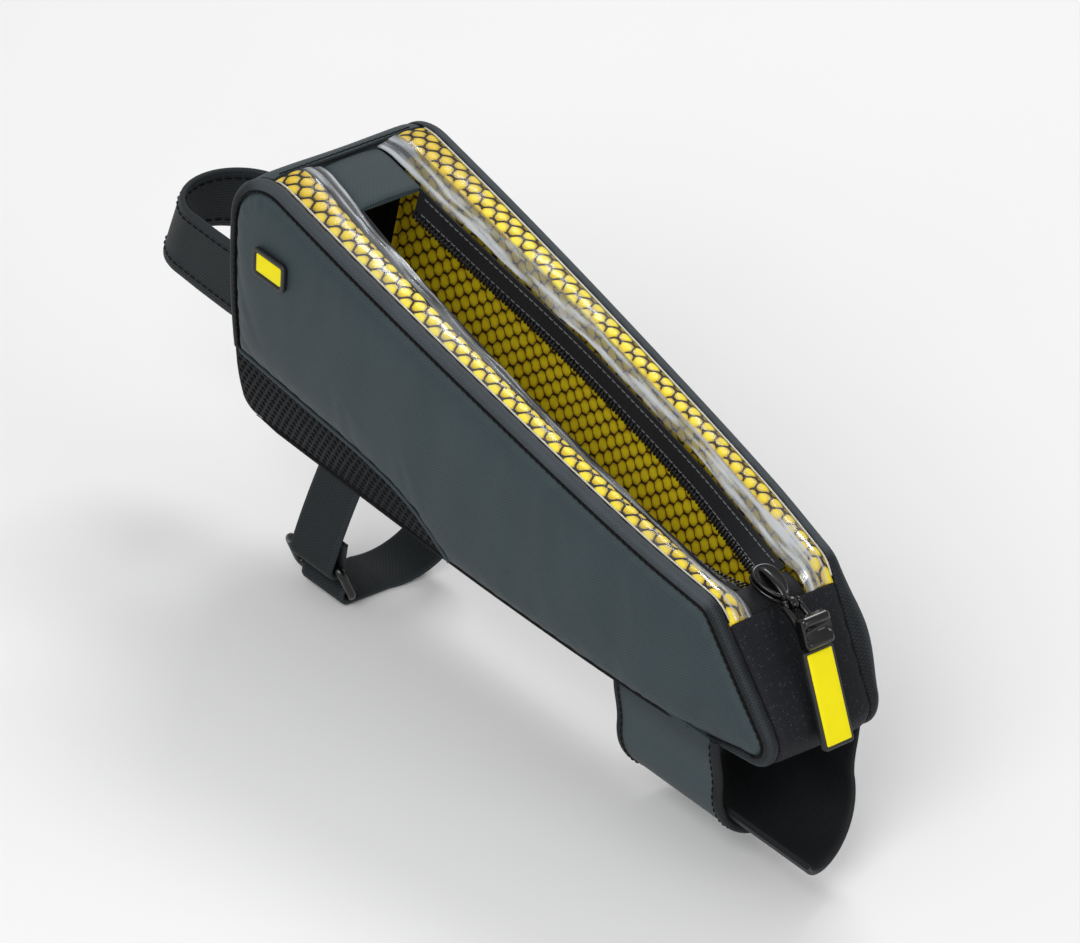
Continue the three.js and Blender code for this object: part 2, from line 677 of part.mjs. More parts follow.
const faceForm = tabPlate(FACE.start, faceOut, FACE.long, FACE.wide, FACE.tall, FACE.round, 0.15);
const pullFace = joined('pull_face', [faceForm], [], tabYellow);

// Strap that runs along a line of points, each with the strap's thickness direction and width direction
function ribbon(name, line, wide, thick, material) {
  const sections = line.map((p, i) => {
    const a = line[Math.max(i - 1, 0)].spot;
    const b = line[Math.min(i + 1, line.length - 1)].spot;
    const along = new THREE.Vector3().subVectors(b, a);
    const across = p.across.clone().normalize();
    const out = new THREE.Vector3().crossVectors(along.normalize(), across).normalize();
    const corner = (w, t) => p.spot.clone()
      .addScaledVector(across, w * wide)
      .addScaledVector(out, t * thick);
    return [corner(-0.5, -0.5), corner(0.5, -0.5), corner(0.5, 0.5), corner(-0.5, 0.5)];
  });
  return loft(name, sections, material);
}

// Points on a circle below the bag: angle in degrees, zero to the right and minus ninety below
const onTube = (round, degrees, drop) => ({
  y: round * Math.cos(THREE.MathUtils.degToRad(degrees)),
  z: -drop + round * Math.sin(THREE.MathUtils.degToRad(degrees)),
});

// Line of a strap: from the bag's lower edge on one side, round a circle to a stop angle
function tubeLine(sign, edge, round, drop, stopDegrees, fromX, shift, step) {
  const flat = [];
  const touch = onTube(round, 0, drop);
  const lead = 4;
  for (let i = 0; i < lead; i += 1) {
    const t = i / lead;
    const ease = t * t * (3 - 2 * t);
    flat.push({ y: edge.y + (touch.y - edge.y) * ease, z: edge.z + (touch.z - edge.z) * t });
  }
  const count = Math.round(stopDegrees / step);
  for (let i = 0; i <= count; i += 1) flat.push(onTube(round, (-stopDegrees * i) / count, drop));
  return flat.map((p, i) => ({
    spot: at(fromX + (shift * i) / (flat.length - 1), sign * p.y, p.z),
    across: at(1, 0, 0),
  }));
}

// Wide rear strap: grey flap from the left over a black layer from the right
const REAR_STRAP = { drop: 16.4, wide: 44, thick: 2.0, middle: 75, outer: 19.1, stop: 128 };
const REAR_UNDER = { wide: 52, thick: 1.6, outer: 16.95, stop: 152, middle: 82, shift: 22 };
const outerLine = tubeLine(-1, { y: 23.0, z: -GAP }, REAR_STRAP.outer, REAR_STRAP.drop,
  REAR_STRAP.stop, REAR_STRAP.middle, 0, 12);
const underLine = tubeLine(1, { y: 21.4, z: -GAP }, REAR_UNDER.outer, REAR_STRAP.drop,
  REAR_UNDER.stop, REAR_UNDER.middle, REAR_UNDER.shift, 12);
const rearOuter = ribbon('rear_strap_outer', outerLine, REAR_STRAP.wide, REAR_STRAP.thick, coatedGrey);
const rearUnder = ribbon('rear_strap_under', underLine, REAR_UNDER.wide, REAR_UNDER.thick, wovenBlack);

// Narrow front strap, folded round both bars of a rectangular ring
const FRONT_STRAP = { drop: 21, round: 22.4, wide: 19, thick: 1.5, sewnX: -69.5, ringX: -75.6 };
const RING = { x: -77, degrees: 35, lean: 26, long: 27.5, tall: 14.5, bar: 1.4, out: 2.4 };
const FOLD = { turn: 2.5, steps: 8, shortLead: 0.54, longLead: 1.1 };

const ringSpot = onTube(FRONT_STRAP.round + RING.out, 180 + RING.degrees, FRONT_STRAP.drop);
const ringDown = {
  y: Math.sin(THREE.MathUtils.degToRad(RING.lean)),
  z: -Math.cos(THREE.MathUtils.degToRad(RING.lean)),
};
const ringOut = { y: ringDown.z, z: -ringDown.y };
const barReach = RING.tall / 2 - RING.bar;
const topBar = { y: ringSpot.y - ringDown.y * barReach, z: ringSpot.z - ringDown.z * barReach };
const lowBar = { y: ringSpot.y + ringDown.y * barReach, z: ringSpot.z + ringDown.z * barReach };
const webLine = (points) => points.map((p) => ({ spot: at(p.x, p.y, p.z), across: at(1, 0, 0) }));

// Strap end that goes round a ring bar from outside to inside; heading is the travel direction,
// and lead is how much earlier the strap meets the bar
function foldLine(bar, heading, lead, x) {
  const line = [];
  for (let i = 0; i <= FOLD.steps; i += 1) {
    const turn = ((Math.PI + lead) * i) / FOLD.steps - lead;
    line.push({
      y: bar.y + (ringOut.y * Math.cos(turn) + heading.y * Math.sin(turn)) * FOLD.turn,
      z: bar.z + (ringOut.z * Math.cos(turn) + heading.z * Math.sin(turn)) * FOLD.turn,
      x,
    });
  }
  return line;
}

// Short end: from the left lower edge of the bag down to the ring's upper bar
const shortTop = { y: -22.2, z: -GAP, x: FRONT_STRAP.sewnX };
const shortFold = foldLine(topBar, ringDown, FOLD.shortLead, FRONT_STRAP.ringX);
const shortTail = { y: -22.6, z: -20, x: FRONT_STRAP.ringX + 3 };
const shortLine = [];
const SHORT_STEPS = 5;
for (let i = 0; i < SHORT_STEPS; i += 1) {
  const t = i / SHORT_STEPS;
  const bulge = 0.5 * Math.sin(Math.PI * t);
  shortLine.push({
    x: shortTop.x + (shortFold[0].x - shortTop.x) * t,
    y: shortTop.y + (shortFold[0].y - shortTop.y) * t - bulge,
    z: shortTop.z + (shortFold[0].z - shortTop.z) * t,
  });
}
const shortStrap = ribbon('front_strap_short', webLine([...shortLine, ...shortFold, shortTail]),
  FRONT_STRAP.wide, FRONT_STRAP.thick, webbing);

// Long end: from the ring's lower bar round below and up to the right lower edge
const ringUp = { y: -ringDown.y, z: -ringDown.z };
const longFold = foldLine(lowBar, ringUp, FOLD.longLead, FRONT_STRAP.ringX);
const longLine = [...longFold].reverse();
const longDegrees = { from: 264, to: 360, step: 12 };
for (let d = longDegrees.from; d <= longDegrees.to; d += longDegrees.step) {
  const share = (d - longDegrees.from) / (longDegrees.to - longDegrees.from);
  const p = onTube(FRONT_STRAP.round, d, FRONT_STRAP.drop);
  longLine.push({ x: FRONT_STRAP.ringX + (FRONT_STRAP.sewnX - FRONT_STRAP.ringX) * share, ...p });
}
longLine.push({ x: FRONT_STRAP.sewnX, y: 22.3, z: -10 }, { x: FRONT_STRAP.sewnX, y: 22.2, z: -GAP });
const longStrap = ribbon('front_strap_long', webLine(longLine), FRONT_STRAP.wide,
  FRONT_STRAP.thick, webbing);

// Rectangular ring with round bars, lying on the strap's lower left
function ringBuckle() {
  const sides = 8;
  const ring = [];
  const bend = 2.2;
  const x = RING.long / 2 - RING.bar - bend;
  const v = RING.tall / 2 - RING.bar - bend;
  const corners = [
    { x, v, a: 0 },
    { x: -x, v, a: 90 },
    { x: -x, v: -v, a: 180 },
    { x, v: -v, a: 270 },
  ];
  corners.forEach((c) => {
    for (let i = 0; i <= 3; i += 1) {
      const turn = THREE.MathUtils.degToRad(c.a + 30 * i);
      ring.push({ x: c.x + bend * Math.cos(turn), v: c.v + bend * Math.sin(turn), turn });
    }
  });
  const points = [];
  const faces = [];
  ring.forEach((p) => {
    for (let k = 0; k < sides; k += 1) {
      const spin = (2 * Math.PI * k) / sides;
      const flat = RING.bar * Math.cos(spin);
      const high = RING.bar * Math.sin(spin);
      const px = p.x + Math.cos(p.turn) * flat;
      const pv = p.v + Math.sin(p.turn) * flat;
      points.push(at(RING.x + px, ringSpot.y - ringDown.y * pv + ringOut.y * high,
        ringSpot.z - ringDown.z * pv + ringOut.z * high));
    }
  });
  ring.forEach((p, i) => {
    const next = (i + 1) % ring.length;
    for (let k = 0; k < sides; k += 1) {
      const a = i * sides + k;
      const b = i * sides + ((k + 1) % sides);
      const c = next * sides + ((k + 1) % sides);
      const d = next * sides + k;
      faces.push([a, b, c], [a, c, d]);
    }
  });
  return solid('ring_buckle', points, faces, glossBlack);
}

// Loop that stands off the front wall, leaning with its height
const STEER = { x: -149, round: 17.6, low: 26, tall: 24, thick: 1.8, foot: 18.4, lean: 0.3 };
const steerFlat = [{ x: OUTLINE[0].x - GAP, y: -STEER.foot }, { x: -126, y: -18.6 }, { x: -138, y: -18.2 }];
for (let d = 0; d <= 180; d += 15) {
  const turn = THREE.MathUtils.degToRad(d);
  steerFlat.push({ x: STEER.x - STEER.round * Math.sin(turn), y: -STEER.round * Math.cos(turn) });
}
steerFlat.push({ x: -138, y: 18.2 }, { x: -126, y: 18.6 }, { x: OUTLINE[0].x - GAP, y: STEER.foot });
const steerer = ribbon('steerer_strap', steerFlat.map((p) => {
  const lean = STEER.lean * Math.min(1, (OUTLINE[0].x - p.x) / 40);
  return { spot: at(p.x, p.y, STEER.low + STEER.tall / 2), across: at(lean, 0, 1) };
}), STEER.tall, STEER.thick, webbing);

// Small plain patch on each side wall
const PATCH = { x: -91, z: 64, long: 15, tall: 9.5, thick: 1.0 };

function sidePatch(name, sign) {
  const place = (i, j, out) => {
    const x = PATCH.x + PATCH.long * (i / 3 - 0.5);
    const z = PATCH.z + PATCH.tall * (j / 2 - 0.5);
    return at(x, sign * (halfWidth(x, z) + PANEL_PUFF + 0.3 + out), z);
  };
  return slab(name, 4, 3, (i, j) => place(i, j, PATCH.thick), (i, j) => place(i, j, 0), tabYellow);
}

const bag = new THREE.Group();
bag.name = 'top_tube_bag';
SIDES.forEach(({ label, sign }) => {
  bag.add(sidePanel(`side_panel_${label}`, sign));
  bag.add(edgeBand(`edge_band_${label}`, sign));
  bag.add(meshPanel(`mesh_panel_${label}`, sign));
  bag.add(lining(`lining_${label}`, sign));
  bag.add(coverStrip(`net_band_${label}`, sign, 0, NET_SHARE, SEAM_X + GAP, netYellow));
  bag.add(coverStrip(`clear_window_${label}`, sign, NET_SHARE + 0.04, 1, SEAM_X + GAP, clearFilm));
  bag.add(zipTape(`zip_tape_${label}`, sign));
  bag.add(sidePatch(`side_tab_${label}`, sign));
});
bag.add(frontPanel, rearPanel, basePanel, zipGarage, zipEnd, zipSlider);
bag.add(rearOuter, rearUnder, shortStrap, longStrap, ringBuckle(), steerer);
const pull = new THREE.Group();
pull.name = 'pull';
pull.add(pullLink, pullTab, pullFace);
bag.add(pull);

export default bag;
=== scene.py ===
"""Looks of a top tube bag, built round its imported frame.

Sizes are millimetres in the frame's own axes: X along the bag with its tall front at -X, Z up.
make_piece() writes them in metres.
"""
import math

import bpy
import numpy as np
from mathutils import Matrix, Vector


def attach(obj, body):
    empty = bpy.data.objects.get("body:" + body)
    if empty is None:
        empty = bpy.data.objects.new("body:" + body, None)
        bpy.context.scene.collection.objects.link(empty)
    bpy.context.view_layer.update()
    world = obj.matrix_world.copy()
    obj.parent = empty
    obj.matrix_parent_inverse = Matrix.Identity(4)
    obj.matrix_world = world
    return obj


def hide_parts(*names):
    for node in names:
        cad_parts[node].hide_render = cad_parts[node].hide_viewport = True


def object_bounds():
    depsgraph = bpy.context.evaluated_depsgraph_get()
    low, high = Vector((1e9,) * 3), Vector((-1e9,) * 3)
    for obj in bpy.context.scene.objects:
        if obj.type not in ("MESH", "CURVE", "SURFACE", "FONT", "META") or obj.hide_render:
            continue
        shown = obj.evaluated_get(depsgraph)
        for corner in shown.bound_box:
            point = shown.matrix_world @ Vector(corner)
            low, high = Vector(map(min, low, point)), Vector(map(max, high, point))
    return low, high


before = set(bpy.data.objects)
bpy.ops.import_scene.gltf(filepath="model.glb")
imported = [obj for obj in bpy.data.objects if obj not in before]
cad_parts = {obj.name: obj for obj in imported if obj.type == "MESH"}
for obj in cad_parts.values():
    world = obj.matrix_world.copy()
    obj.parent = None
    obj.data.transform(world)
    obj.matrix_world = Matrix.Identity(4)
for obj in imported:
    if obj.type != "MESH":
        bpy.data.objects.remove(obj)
cad_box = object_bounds()

MM = 0.001
SIDES = (("left", -1), ("right", 1))


def table(columns, *rows):
    """A short table as one array for each named column."""
    return {name: np.array([row[i] for row in rows], float) for i, name in enumerate(columns.split())}


# Driving sizes, the same as the solids have
OUTLINE = table("x z round", (-116, 0, 6), (-113.5, 92.5, 18), (89.9, 43.73, 10), (123.2, 0, 7.5))
WIDTHS = table(
    "x top base belly",
    (-114, 31, 21, 1.0),
    (-57, 31, 23, 2.0),
    (0, 29.5, 24.5, 2.0),
    (60, 26.5, 24, 1.5),
    (92, 22.8, 22, 0.8),
    (118, 19.5, 19, 0.3),
)
MOUTH = table(
    "x edge coil droop",
    (-98, 10.5, 7.5, 0.8),
    (-60, 13, 11, 2.5),
    (-10, 15, 13.2, 2.5),
    (40, 14.2, 11.5, 2.8),
    (65, 12.5, 7.5, 3.4),
    (84, 10.8, 2.2, 4.0),
    (95, 10, 1.8, 1.6),
)
MESH_EDGE = table(
    "x z", (-114, 23.5), (-80, 21), (-55, 18.6), (-40, 15.6), (-30, 11.4), (-22, 5.6), (-16, 0.2)
)
PANEL_FOOT = table("x z", (-114, 0.4), (50, 0.4), (80, 0.9), (96, 2.3), (104, 3.4))
GAP = 0.4
BAND = 3.0
PANEL_INSET = BAND + GAP
PANEL_THICK = 3.4
PANEL_TUCK = 0.7
PANEL_PUFF = 2.4
PUFF_RUN = 3.2
WALL_THICK = 2.5
SPAN_FLOOR = 14
MIN_ROUND = 1.2
SEAM_X = -99.5
MOUTH_FRONT_X = -80
MOUTH_REAR_X = 84
COVER_REAR_X = 94
COVER_SINK = 0.5
COVER_DOME = 1.3
NET_SHARE = 0.58


# Small tools for numbers and points


def join(*parts):
    """Coordinates put together as points; single values and rows spread over the others."""
    return np.stack(np.broadcast_arrays(*parts), -1)


def lookup(s, reach, rows):
    """Rows of values read off at lengths s, between the lengths where they are known."""
    return join(*[np.interp(s, reach, column) for column in rows.T])


def bell(value, wide):
    """1 at zero, falling off smoothly on both sides."""
    return np.exp(-((value / wide) ** 2))


def ramped(value, low, high):
    """0 up to low, 1 from high on, and a straight rise between."""
    return np.clip((value - low) / (high - low), 0, 1)


def unit(v):
    return v / np.maximum(np.linalg.norm(v, axis=-1, keepdims=True), 1e-12)


def curve(rows, column, x):
    """Smooth curve through one column of a table, level past its ends."""
    xs, ys = rows["x"], rows[column]
    slope = np.gradient(ys, xs)
    slope[1:-1] = (ys[2:] - ys[:-2]) / (xs[2:] - xs[:-2])
    px = np.clip(x, xs[0], xs[-1])
    k = np.clip(np.searchsorted(xs, px) - 1, 0, len(xs) - 2)
    run = xs[k + 1] - xs[k]
    t = (px - xs[k]) / run
    start = ys[k] * (2 * t**3 - 3 * t**2 + 1) + slope[k] * run * (t**3 - 2 * t**2 + t)
    return start + ys[k + 1] * (3 * t**2 - 2 * t**3) + slope[k + 1] * run * (t**3 - t**2)


def running_length(points):
    steps = np.linalg.norm(np.diff(points, axis=0), axis=1)
    return np.concatenate([[0], np.cumsum(steps)])


def spaced(points, count):
    """The given number of points at even steps along a line."""
    points = np.asarray(points, float)
    reach = running_length(points)
    return lookup(np.linspace(0, reach[-1], count), reach, points)


def rounded_line(points, count, passes=3):
    """A smooth line through the neighbourhood of hand-set points, by cutting corners."""
    line = np.asarray(points, float)
    for _ in range(passes):
        early = line[:-1] * 0.75 + line[1:] * 0.25
        late = line[:-1] * 0.25 + line[1:] * 0.75
        inner = np.stack([early, late], 1).reshape(-1, line.shape[1])
        line = np.concatenate([line[:1], inner, line[-1:]])
    return spaced(line, count)


def rounded_loop(long, wide, radius, steps=8):
    """Outline of a rectangle with round corners, anticlockwise."""
    points = []
    x, y = long / 2 - radius, wide / 2 - radius
    for cx, cy, start in ((x, y, 0), (-x, y, 90), (-x, -y, 180), (x, -y, 270)):
        for a in np.radians(np.linspace(start, start + 90, steps)):
            points.append((cx + radius * math.cos(a), cy + radius * math.sin(a)))
    return np.array(points)


# Outline and surfaces of the bag

FOOT_ARC, FRONT, FRONT_TOP, TOP, REAR_TOP, REAR, REAR_FOOT, BASE = range(8)


class Outline:
    """Rounded side outline moved inward by inset and off the base by lift, as close points.

    It runs up the front, along the top and down the rear, and back along the base.
    """

    STEP = 0.25

    def __init__(self, inset=0.0, lift=0.0):
        corners = join(OUTLINE["x"], OUTLINE["z"])
        count = len(corners)
        ways = unit(np.roll(corners, -1, 0) - corners)
        inward = join(ways[:, 1], -ways[:, 0])
        moves = np.array([inset] * (count - 1) + [lift])
        starts = corners + inward * moves[:, None]
        bends = []
        for i in range(count):
            a, b = i - 1, i
            cross = ways[a, 0] * ways[b, 1] - ways[a, 1] * ways[b, 0]
            gap = starts[b] - starts[a]
            corner = starts[a] + ways[a] * (gap[0] * ways[b, 1] - gap[1] * ways[b, 0]) / cross
            turn = math.acos(float(ways[a] @ ways[b]))
            radius = max(OUTLINE["round"][i] - max(inset, lift), MIN_ROUND)
            run = radius * math.tan(turn / 2)
            arrive, leave = corner - ways[a] * run, corner + ways[b] * run
            bends.append((arrive, leave, arrive + inward[a] * radius, radius, turn, inward[a]))
        points, normals, lengths = [], [], []
        for i, (_, leave, centre, radius, turn, first) in enumerate(bends):
            angle = math.atan2(first[1], first[0]) - np.linspace(0, turn, self.parts(radius * turn))
            normal = join(np.cos(angle), np.sin(angle))
            arrive = bends[(i + 1) % count][0]
            straight = float(np.linalg.norm(arrive - leave))
            t = np.linspace(0, 1, self.parts(straight))[:, None]
            points += [centre - normal * radius, leave + (arrive - leave) * t]
            normals += [normal, np.repeat(inward[i][None], len(t), 0)]
            lengths += [radius * turn, straight]
        self.starts = np.concatenate([[0], np.cumsum(lengths)])
        self.s = np.concatenate(
            [np.linspace(self.starts[k], self.starts[k + 1], len(p)) for k, p in enumerate(points)]
        )
        self.points = np.concatenate(points)
        self.normals = np.concatenate(normals)
        self.upper = (self.s >= self.starts[FRONT]) & (self.s <= self.starts[REAR_FOOT])

    def parts(self, length):
        return max(3, int(length / self.STEP))

    def at(self, s):
        """Points and inward normals at lengths s along the outline."""
        return lookup(s, self.s, self.points), lookup(s, self.s, self.normals)

    def middle(self, stretch):
        return (self.starts[stretch] + self.starts[stretch + 1]) / 2

    def start_x(self, stretch):
        return float(self.at(self.starts[stretch])[0][0])

    def part(self, start, end, step=0.6):
        """Close points between two lengths, backwards if end is the smaller."""
        count = max(2, int(abs(end - start) / step))
        return self.at(np.linspace(start, end, count))[0]

    def height(self, x):
        """Height of the front, top and rear edges."""
        return np.interp(x, *self.points[self.upper].T)


outer = Outline()


def sharp_top(x):
    """Height of the wedge with its corners left sharp."""
    xs, zs = OUTLINE["x"], OUTLINE["z"]
    top, rear = (zs[k] + (zs[k + 1] - zs[k]) * (x - xs[k]) / (xs[k + 1] - xs[k]) for k in (1, 2))
    return np.maximum(np.minimum(top, rear), SPAN_FLOOR)


def half_width(x, z):
    """Half width of the bag at a point of its side."""
    t = np.clip(z / sharp_top(x), 0, 1)
    base = curve(WIDTHS, "base", x)
    top = curve(WIDTHS, "top", x)
    return base + (top - base) * t * (2 - t) + curve(WIDTHS, "belly", x) * 4 * t * (1 - t)


def cover_seam(x):
    """How far the cover's outer seam lies from the middle."""
    return half_width(x, outer.height(x)) - PANEL_INSET


def cover_wide(x):
    return cover_seam(x) - curve(MOUTH, "edge", x)


def cover_point(x, share, lift=0.0):
    """Point of the top cover; share runs from the outer seam to the edge of the opening."""
    y = cover_seam(x) - cover_wide(x) * share
    dome = COVER_DOME * np.sin(np.pi * np.clip(share, 0, 1))
    return join(x, y, outer.height(x) - COVER_SINK + dome - curve(MOUTH, "droop", x) * share**2 + lift)


def mesh_edge(x):
    return curve(MESH_EDGE, "z", x)


def panel_foot(x):
    return curve(PANEL_FOOT, "z", x)


# Meshes


def grid_faces(columns, rows, wrap_columns=False, wrap_rows=False):
    """Quads of a grid whose points are listed column by column."""
    i = np.arange(columns if wrap_columns else columns - 1)[:, None]
    j = np.arange(rows if wrap_rows else rows - 1)[None, :]
    i2, j2 = (i + 1) % columns, (j + 1) % rows
    return join(i * rows + j, i2 * rows + j, i2 * rows + j2, i * rows + j2).reshape(-1, 4)


class Shape:
    """Points, faces and cloth coordinates of a mesh that is put together from parts."""

    def __init__(self):
        self.points, self.faces, self.cloth, self.wear, self.finish = [], [], [], [], []
        self.count = 0

    def add(self, points, faces, cloth=None, wear=None):
        points = np.asarray(points, float).reshape(-1, 3)
        self.points.append(points)
        self.faces.extend([[int(k) + self.count for k in face] for face in faces])
        self.finish.extend([0] * len(faces))
        self.cloth.append(np.zeros((len(points), 2)) if cloth is None else np.reshape(cloth, (-1, 2)))
        self.wear.append(np.zeros(len(points)) if wear is None else np.reshape(wear, -1))
        self.count += len(points)
        return self

    def slab(self, front, back, cloth, wear=None, back_finish=0):
        """Sheet with thickness from two grids of points, columns by rows."""
        columns, rows = front.shape[:2]
        half = columns * rows
        faces = grid_faces(columns, rows)
        i, j = np.arange(columns), np.arange(rows)
        last_column, last_row = (columns - 1) * rows + j[1:], (i * rows + rows - 1)[-2::-1]
        rim = np.concatenate([i * rows, last_column, last_row, j[-2:0:-1]])
        ahead = np.roll(rim, -1)
        sides = join(ahead, ahead + half, rim + half, rim)
        wear_and_light_mark = None if wear is None else np.stack([wear, wear])
        skins = [*faces, *(faces[:, ::-1] + half), *sides]
        self.add(np.stack([front, back]), skins, np.stack([cloth, cloth]), wear_and_light_mark)
        self.finish[-len(sides) - len(faces):-len(sides)] = [back_finish] * len(faces)
        return self

    def sweep(self, rings, cloth=None, wear=None, closed=False):
        """Skin over a row of closed sections, capped at both ends unless it closes on itself."""
        count, sides = rings.shape[:2]
        faces = [list(f) for f in grid_faces(count, sides, closed, True)]
        if not closed:
            faces.append(list(range(sides))[::-1])
            faces.append(list(range((count - 1) * sides, count * sides)))
        return self.add(rings, faces, cloth, wear)

    def tube(self, line, radius, sides=6, closed=False, squash=1.0, up=None):
        """Round rod along a line; squash flattens it along the up direction."""
        line = np.asarray(line, float)
        if closed:
            along = unit(np.roll(line, -1, 0) - np.roll(line, 1, 0))
        else:
            along = unit(np.gradient(line, axis=0))
        if up is None:
            up = (0.0, 0.0, 1.0) if abs(along[:, 2]).mean() < 0.8 else (0.0, 1.0, 0.0)
        side = unit(np.cross(along, np.broadcast_to(up, line.shape)))
        lift = np.cross(side, along) * squash
        turn = np.linspace(0, 2 * np.pi, sides, endpoint=False)
        spread = side[:, None] * np.cos(turn)[:, None] + lift[:, None] * np.sin(turn)[:, None]
        rings = line[:, None] + spread * np.asarray(radius, float).reshape(-1, 1, 1)
        around = turn * float(np.mean(radius))
        return self.sweep(rings, join(running_length(line)[:, None], around), closed=closed)

    def flipped(self):
        """The same shape with its faces turned round."""
        self.faces = [face[::-1] for face in self.faces]
        return self

    def mirrored(self, sign):
        """The same shape on the other side of the middle plane when sign is minus one."""
        if sign > 0:
            return self
        for points in self.points:
            points[:, 1] *= -1
        return self.flipped()


def make_piece(name, shape, materials, body="bag", replaces=(), sharp=50):
    """Blender object of a shape, riding on a body."""
    points = np.concatenate(shape.points) * MM
    mesh = bpy.data.meshes.new(name)
    mesh.from_pydata(points.tolist(), [], shape.faces)
    uv = mesh.uv_layers.new(name="cloth")
    corner = np.empty(len(mesh.loops), np.int32)
    mesh.loops.foreach_get("vertex_index", corner)
    uv.data.foreach_set("uv", np.concatenate(shape.cloth)[corner].astype(np.float32).ravel())
    wear = mesh.attributes.new("wear", "FLOAT", "POINT")
    wear.data.foreach_set("value", np.concatenate(shape.wear).astype(np.float32))
    for material in materials if isinstance(materials, (list, tuple)) else [materials]:
        mesh.materials.append(material)
    mesh.polygons.foreach_set("material_index", np.array(shape.finish, np.int32))
    mesh.polygons.foreach_set("use_smooth", np.ones(len(mesh.polygons), bool))
    mesh.set_sharp_from_angle(angle=math.radians(sharp))
    mesh.validate()
    piece = bpy.data.objects.new(name, mesh)
    bpy.context.scene.collection.objects.link(piece)
    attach(piece, body)
    if replaces:
        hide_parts(*replaces)
    return piece


def side_piece(name, side, shape, materials, replaced=None, sharp=50):
    """Piece of one side of the bag, from a shape made for its right side."""
    label, sign = side
    solids = [f"{replaced}_{label}"] if replaced else ()
    return make_piece(f"{name}_{label}", shape.mirrored(sign), materials, replaces=solids, sharp=sharp)


# Node materials


class Surface:
    """A node material with short ways to add nodes; each returns a socket."""

    def __init__(self, name):
        self.material = bpy.data.materials.new(name)
        self.material.use_nodes = True
        self.tree = self.material.node_tree

    def put(self, socket, value):
        """Links a value to an input if it is a socket, or else sets the input."""
        if isinstance(value, bpy.types.NodeSocket):
            self.tree.links.new(value, socket)
        else:
            socket.default_value = value

    def add(self, kind, inputs=(), out=0, **settings):
        node = self.tree.nodes.new("ShaderNode" + kind)
        for key, value in settings.items():
            setattr(node, key, value)
        for key, value in dict(inputs).items():
            self.put(node.inputs[key], value)
        return node.outputs[out]

    def math(self, operation, *values):
        return self.add("Math", dict(enumerate(values)), operation=operation)

    def total(self, *terms):
        """Weighted sum of sockets, given as (weight, socket) pairs."""
        parts = [self.math("MULTIPLY", socket, weight) for weight, socket in terms]
        whole = parts[0]
        for part in parts[1:]:
            whole = self.math("ADD", whole, part)
        return whole

    def ramp(self, value, *stops):
        """Colours that change with a value; stops are (place, colour) pairs."""
        node = self.tree.nodes.new("ShaderNodeValToRGB")
        self.tree.links.new(value, node.inputs[0])
        marks = node.color_ramp.elements
        while len(marks) < len(stops):
            marks.new(0.5)
        for mark, (place, colour) in zip(marks, stops):
            mark.position = place
            mark.color = (*colour, 1.0)
        return node.outputs[0]

    def between(self, value, low, high):
        """A value from 0 to 1 turned into one from low to high."""
        return self.add("MapRange", {0: value, 3: low, 4: high})

    def share(self, value, low, high):
        """0 up to low, 1 from high on, and a straight rise between."""
        return self.add("MapRange", {0: value, 1: low, 2: high})

    def noise(self, scale, detail=3.0):
        place = self.add("TexCoord", out=3)
        settings = {"Vector": place, "Scale": scale, "Detail": detail, "Roughness": 0.55}
        return self.add("TexNoise", settings)

    def scaled(self, scale):
        """Cloth coordinates times a scale for each axis."""
        flat = self.add("UVMap", uv_map="cloth")
        return self.add("VectorMath", {0: flat, 1: scale}, operation="MULTIPLY")

    def place(self):
        """Millimetres along and across the cloth."""
        flat = self.add("UVMap", uv_map="cloth")
        return [self.add("SeparateXYZ", {0: flat}, out=axis) for axis in range(2)]

    def ripple(self, value, pitch):
        """Sine of a length, one wave for each two pitches."""
        return self.math("SINE", self.math("MULTIPLY", value, math.pi / pitch))

    def weave(self, pitch):
        """Plain weave from 0 to 1: yarns that pass over and under each other."""
        along, across = map(self.ripple, self.place(), pitch)
        return self.math("MULTIPLY_ADD", self.math("MULTIPLY", along, across), 0.5, 0.5)

    def bump(self, height, strength, depth):
        return self.add("Bump", {"Strength": strength, "Distance": depth * MM, "Height": height})

    # Per-point tone shift: rubbed edges on some pieces, painted light and shade on others.
    def wear_and_light_mark(self):
        return self.add("Attribute", out=2, attribute_name="wear")

    def finish(self, colour, rough, **values):
        """Gives the shader its colour, roughness and other inputs."""
        inputs = self.tree.nodes["Principled BSDF"].inputs
        for key, value in dict(values, Base_Color=colour, Roughness=rough).items():
            self.put(inputs[key.replace("_", " ")], value)
        return self.material


def cloth_material(name, dark, light, pitch, depth, strength=0.5, contrast=0.42, **values):
    """Woven cloth: yarn relief, blotches of tone, fine lint, and a tone shift from the wear attribute: paler
    rubbed edges, and on the band and straps painted light and shade.
    """
    skin = Surface(name)
    yarn, cloudy, lint = skin.weave(pitch), skin.noise(40, 4), skin.noise(1500, 2)
    tone = skin.total((contrast, yarn), (0.4, cloudy), (0.22, lint), (0.6, skin.wear_and_light_mark()))
    relief = skin.bump(skin.total((0.8, yarn), (0.3, lint)), strength, depth)
    colour = skin.ramp(tone, (0.1, dark), (0.85, light))
    return skin.finish(colour, skin.between(cloudy, 0.5, 0.66), Normal=relief, **values)


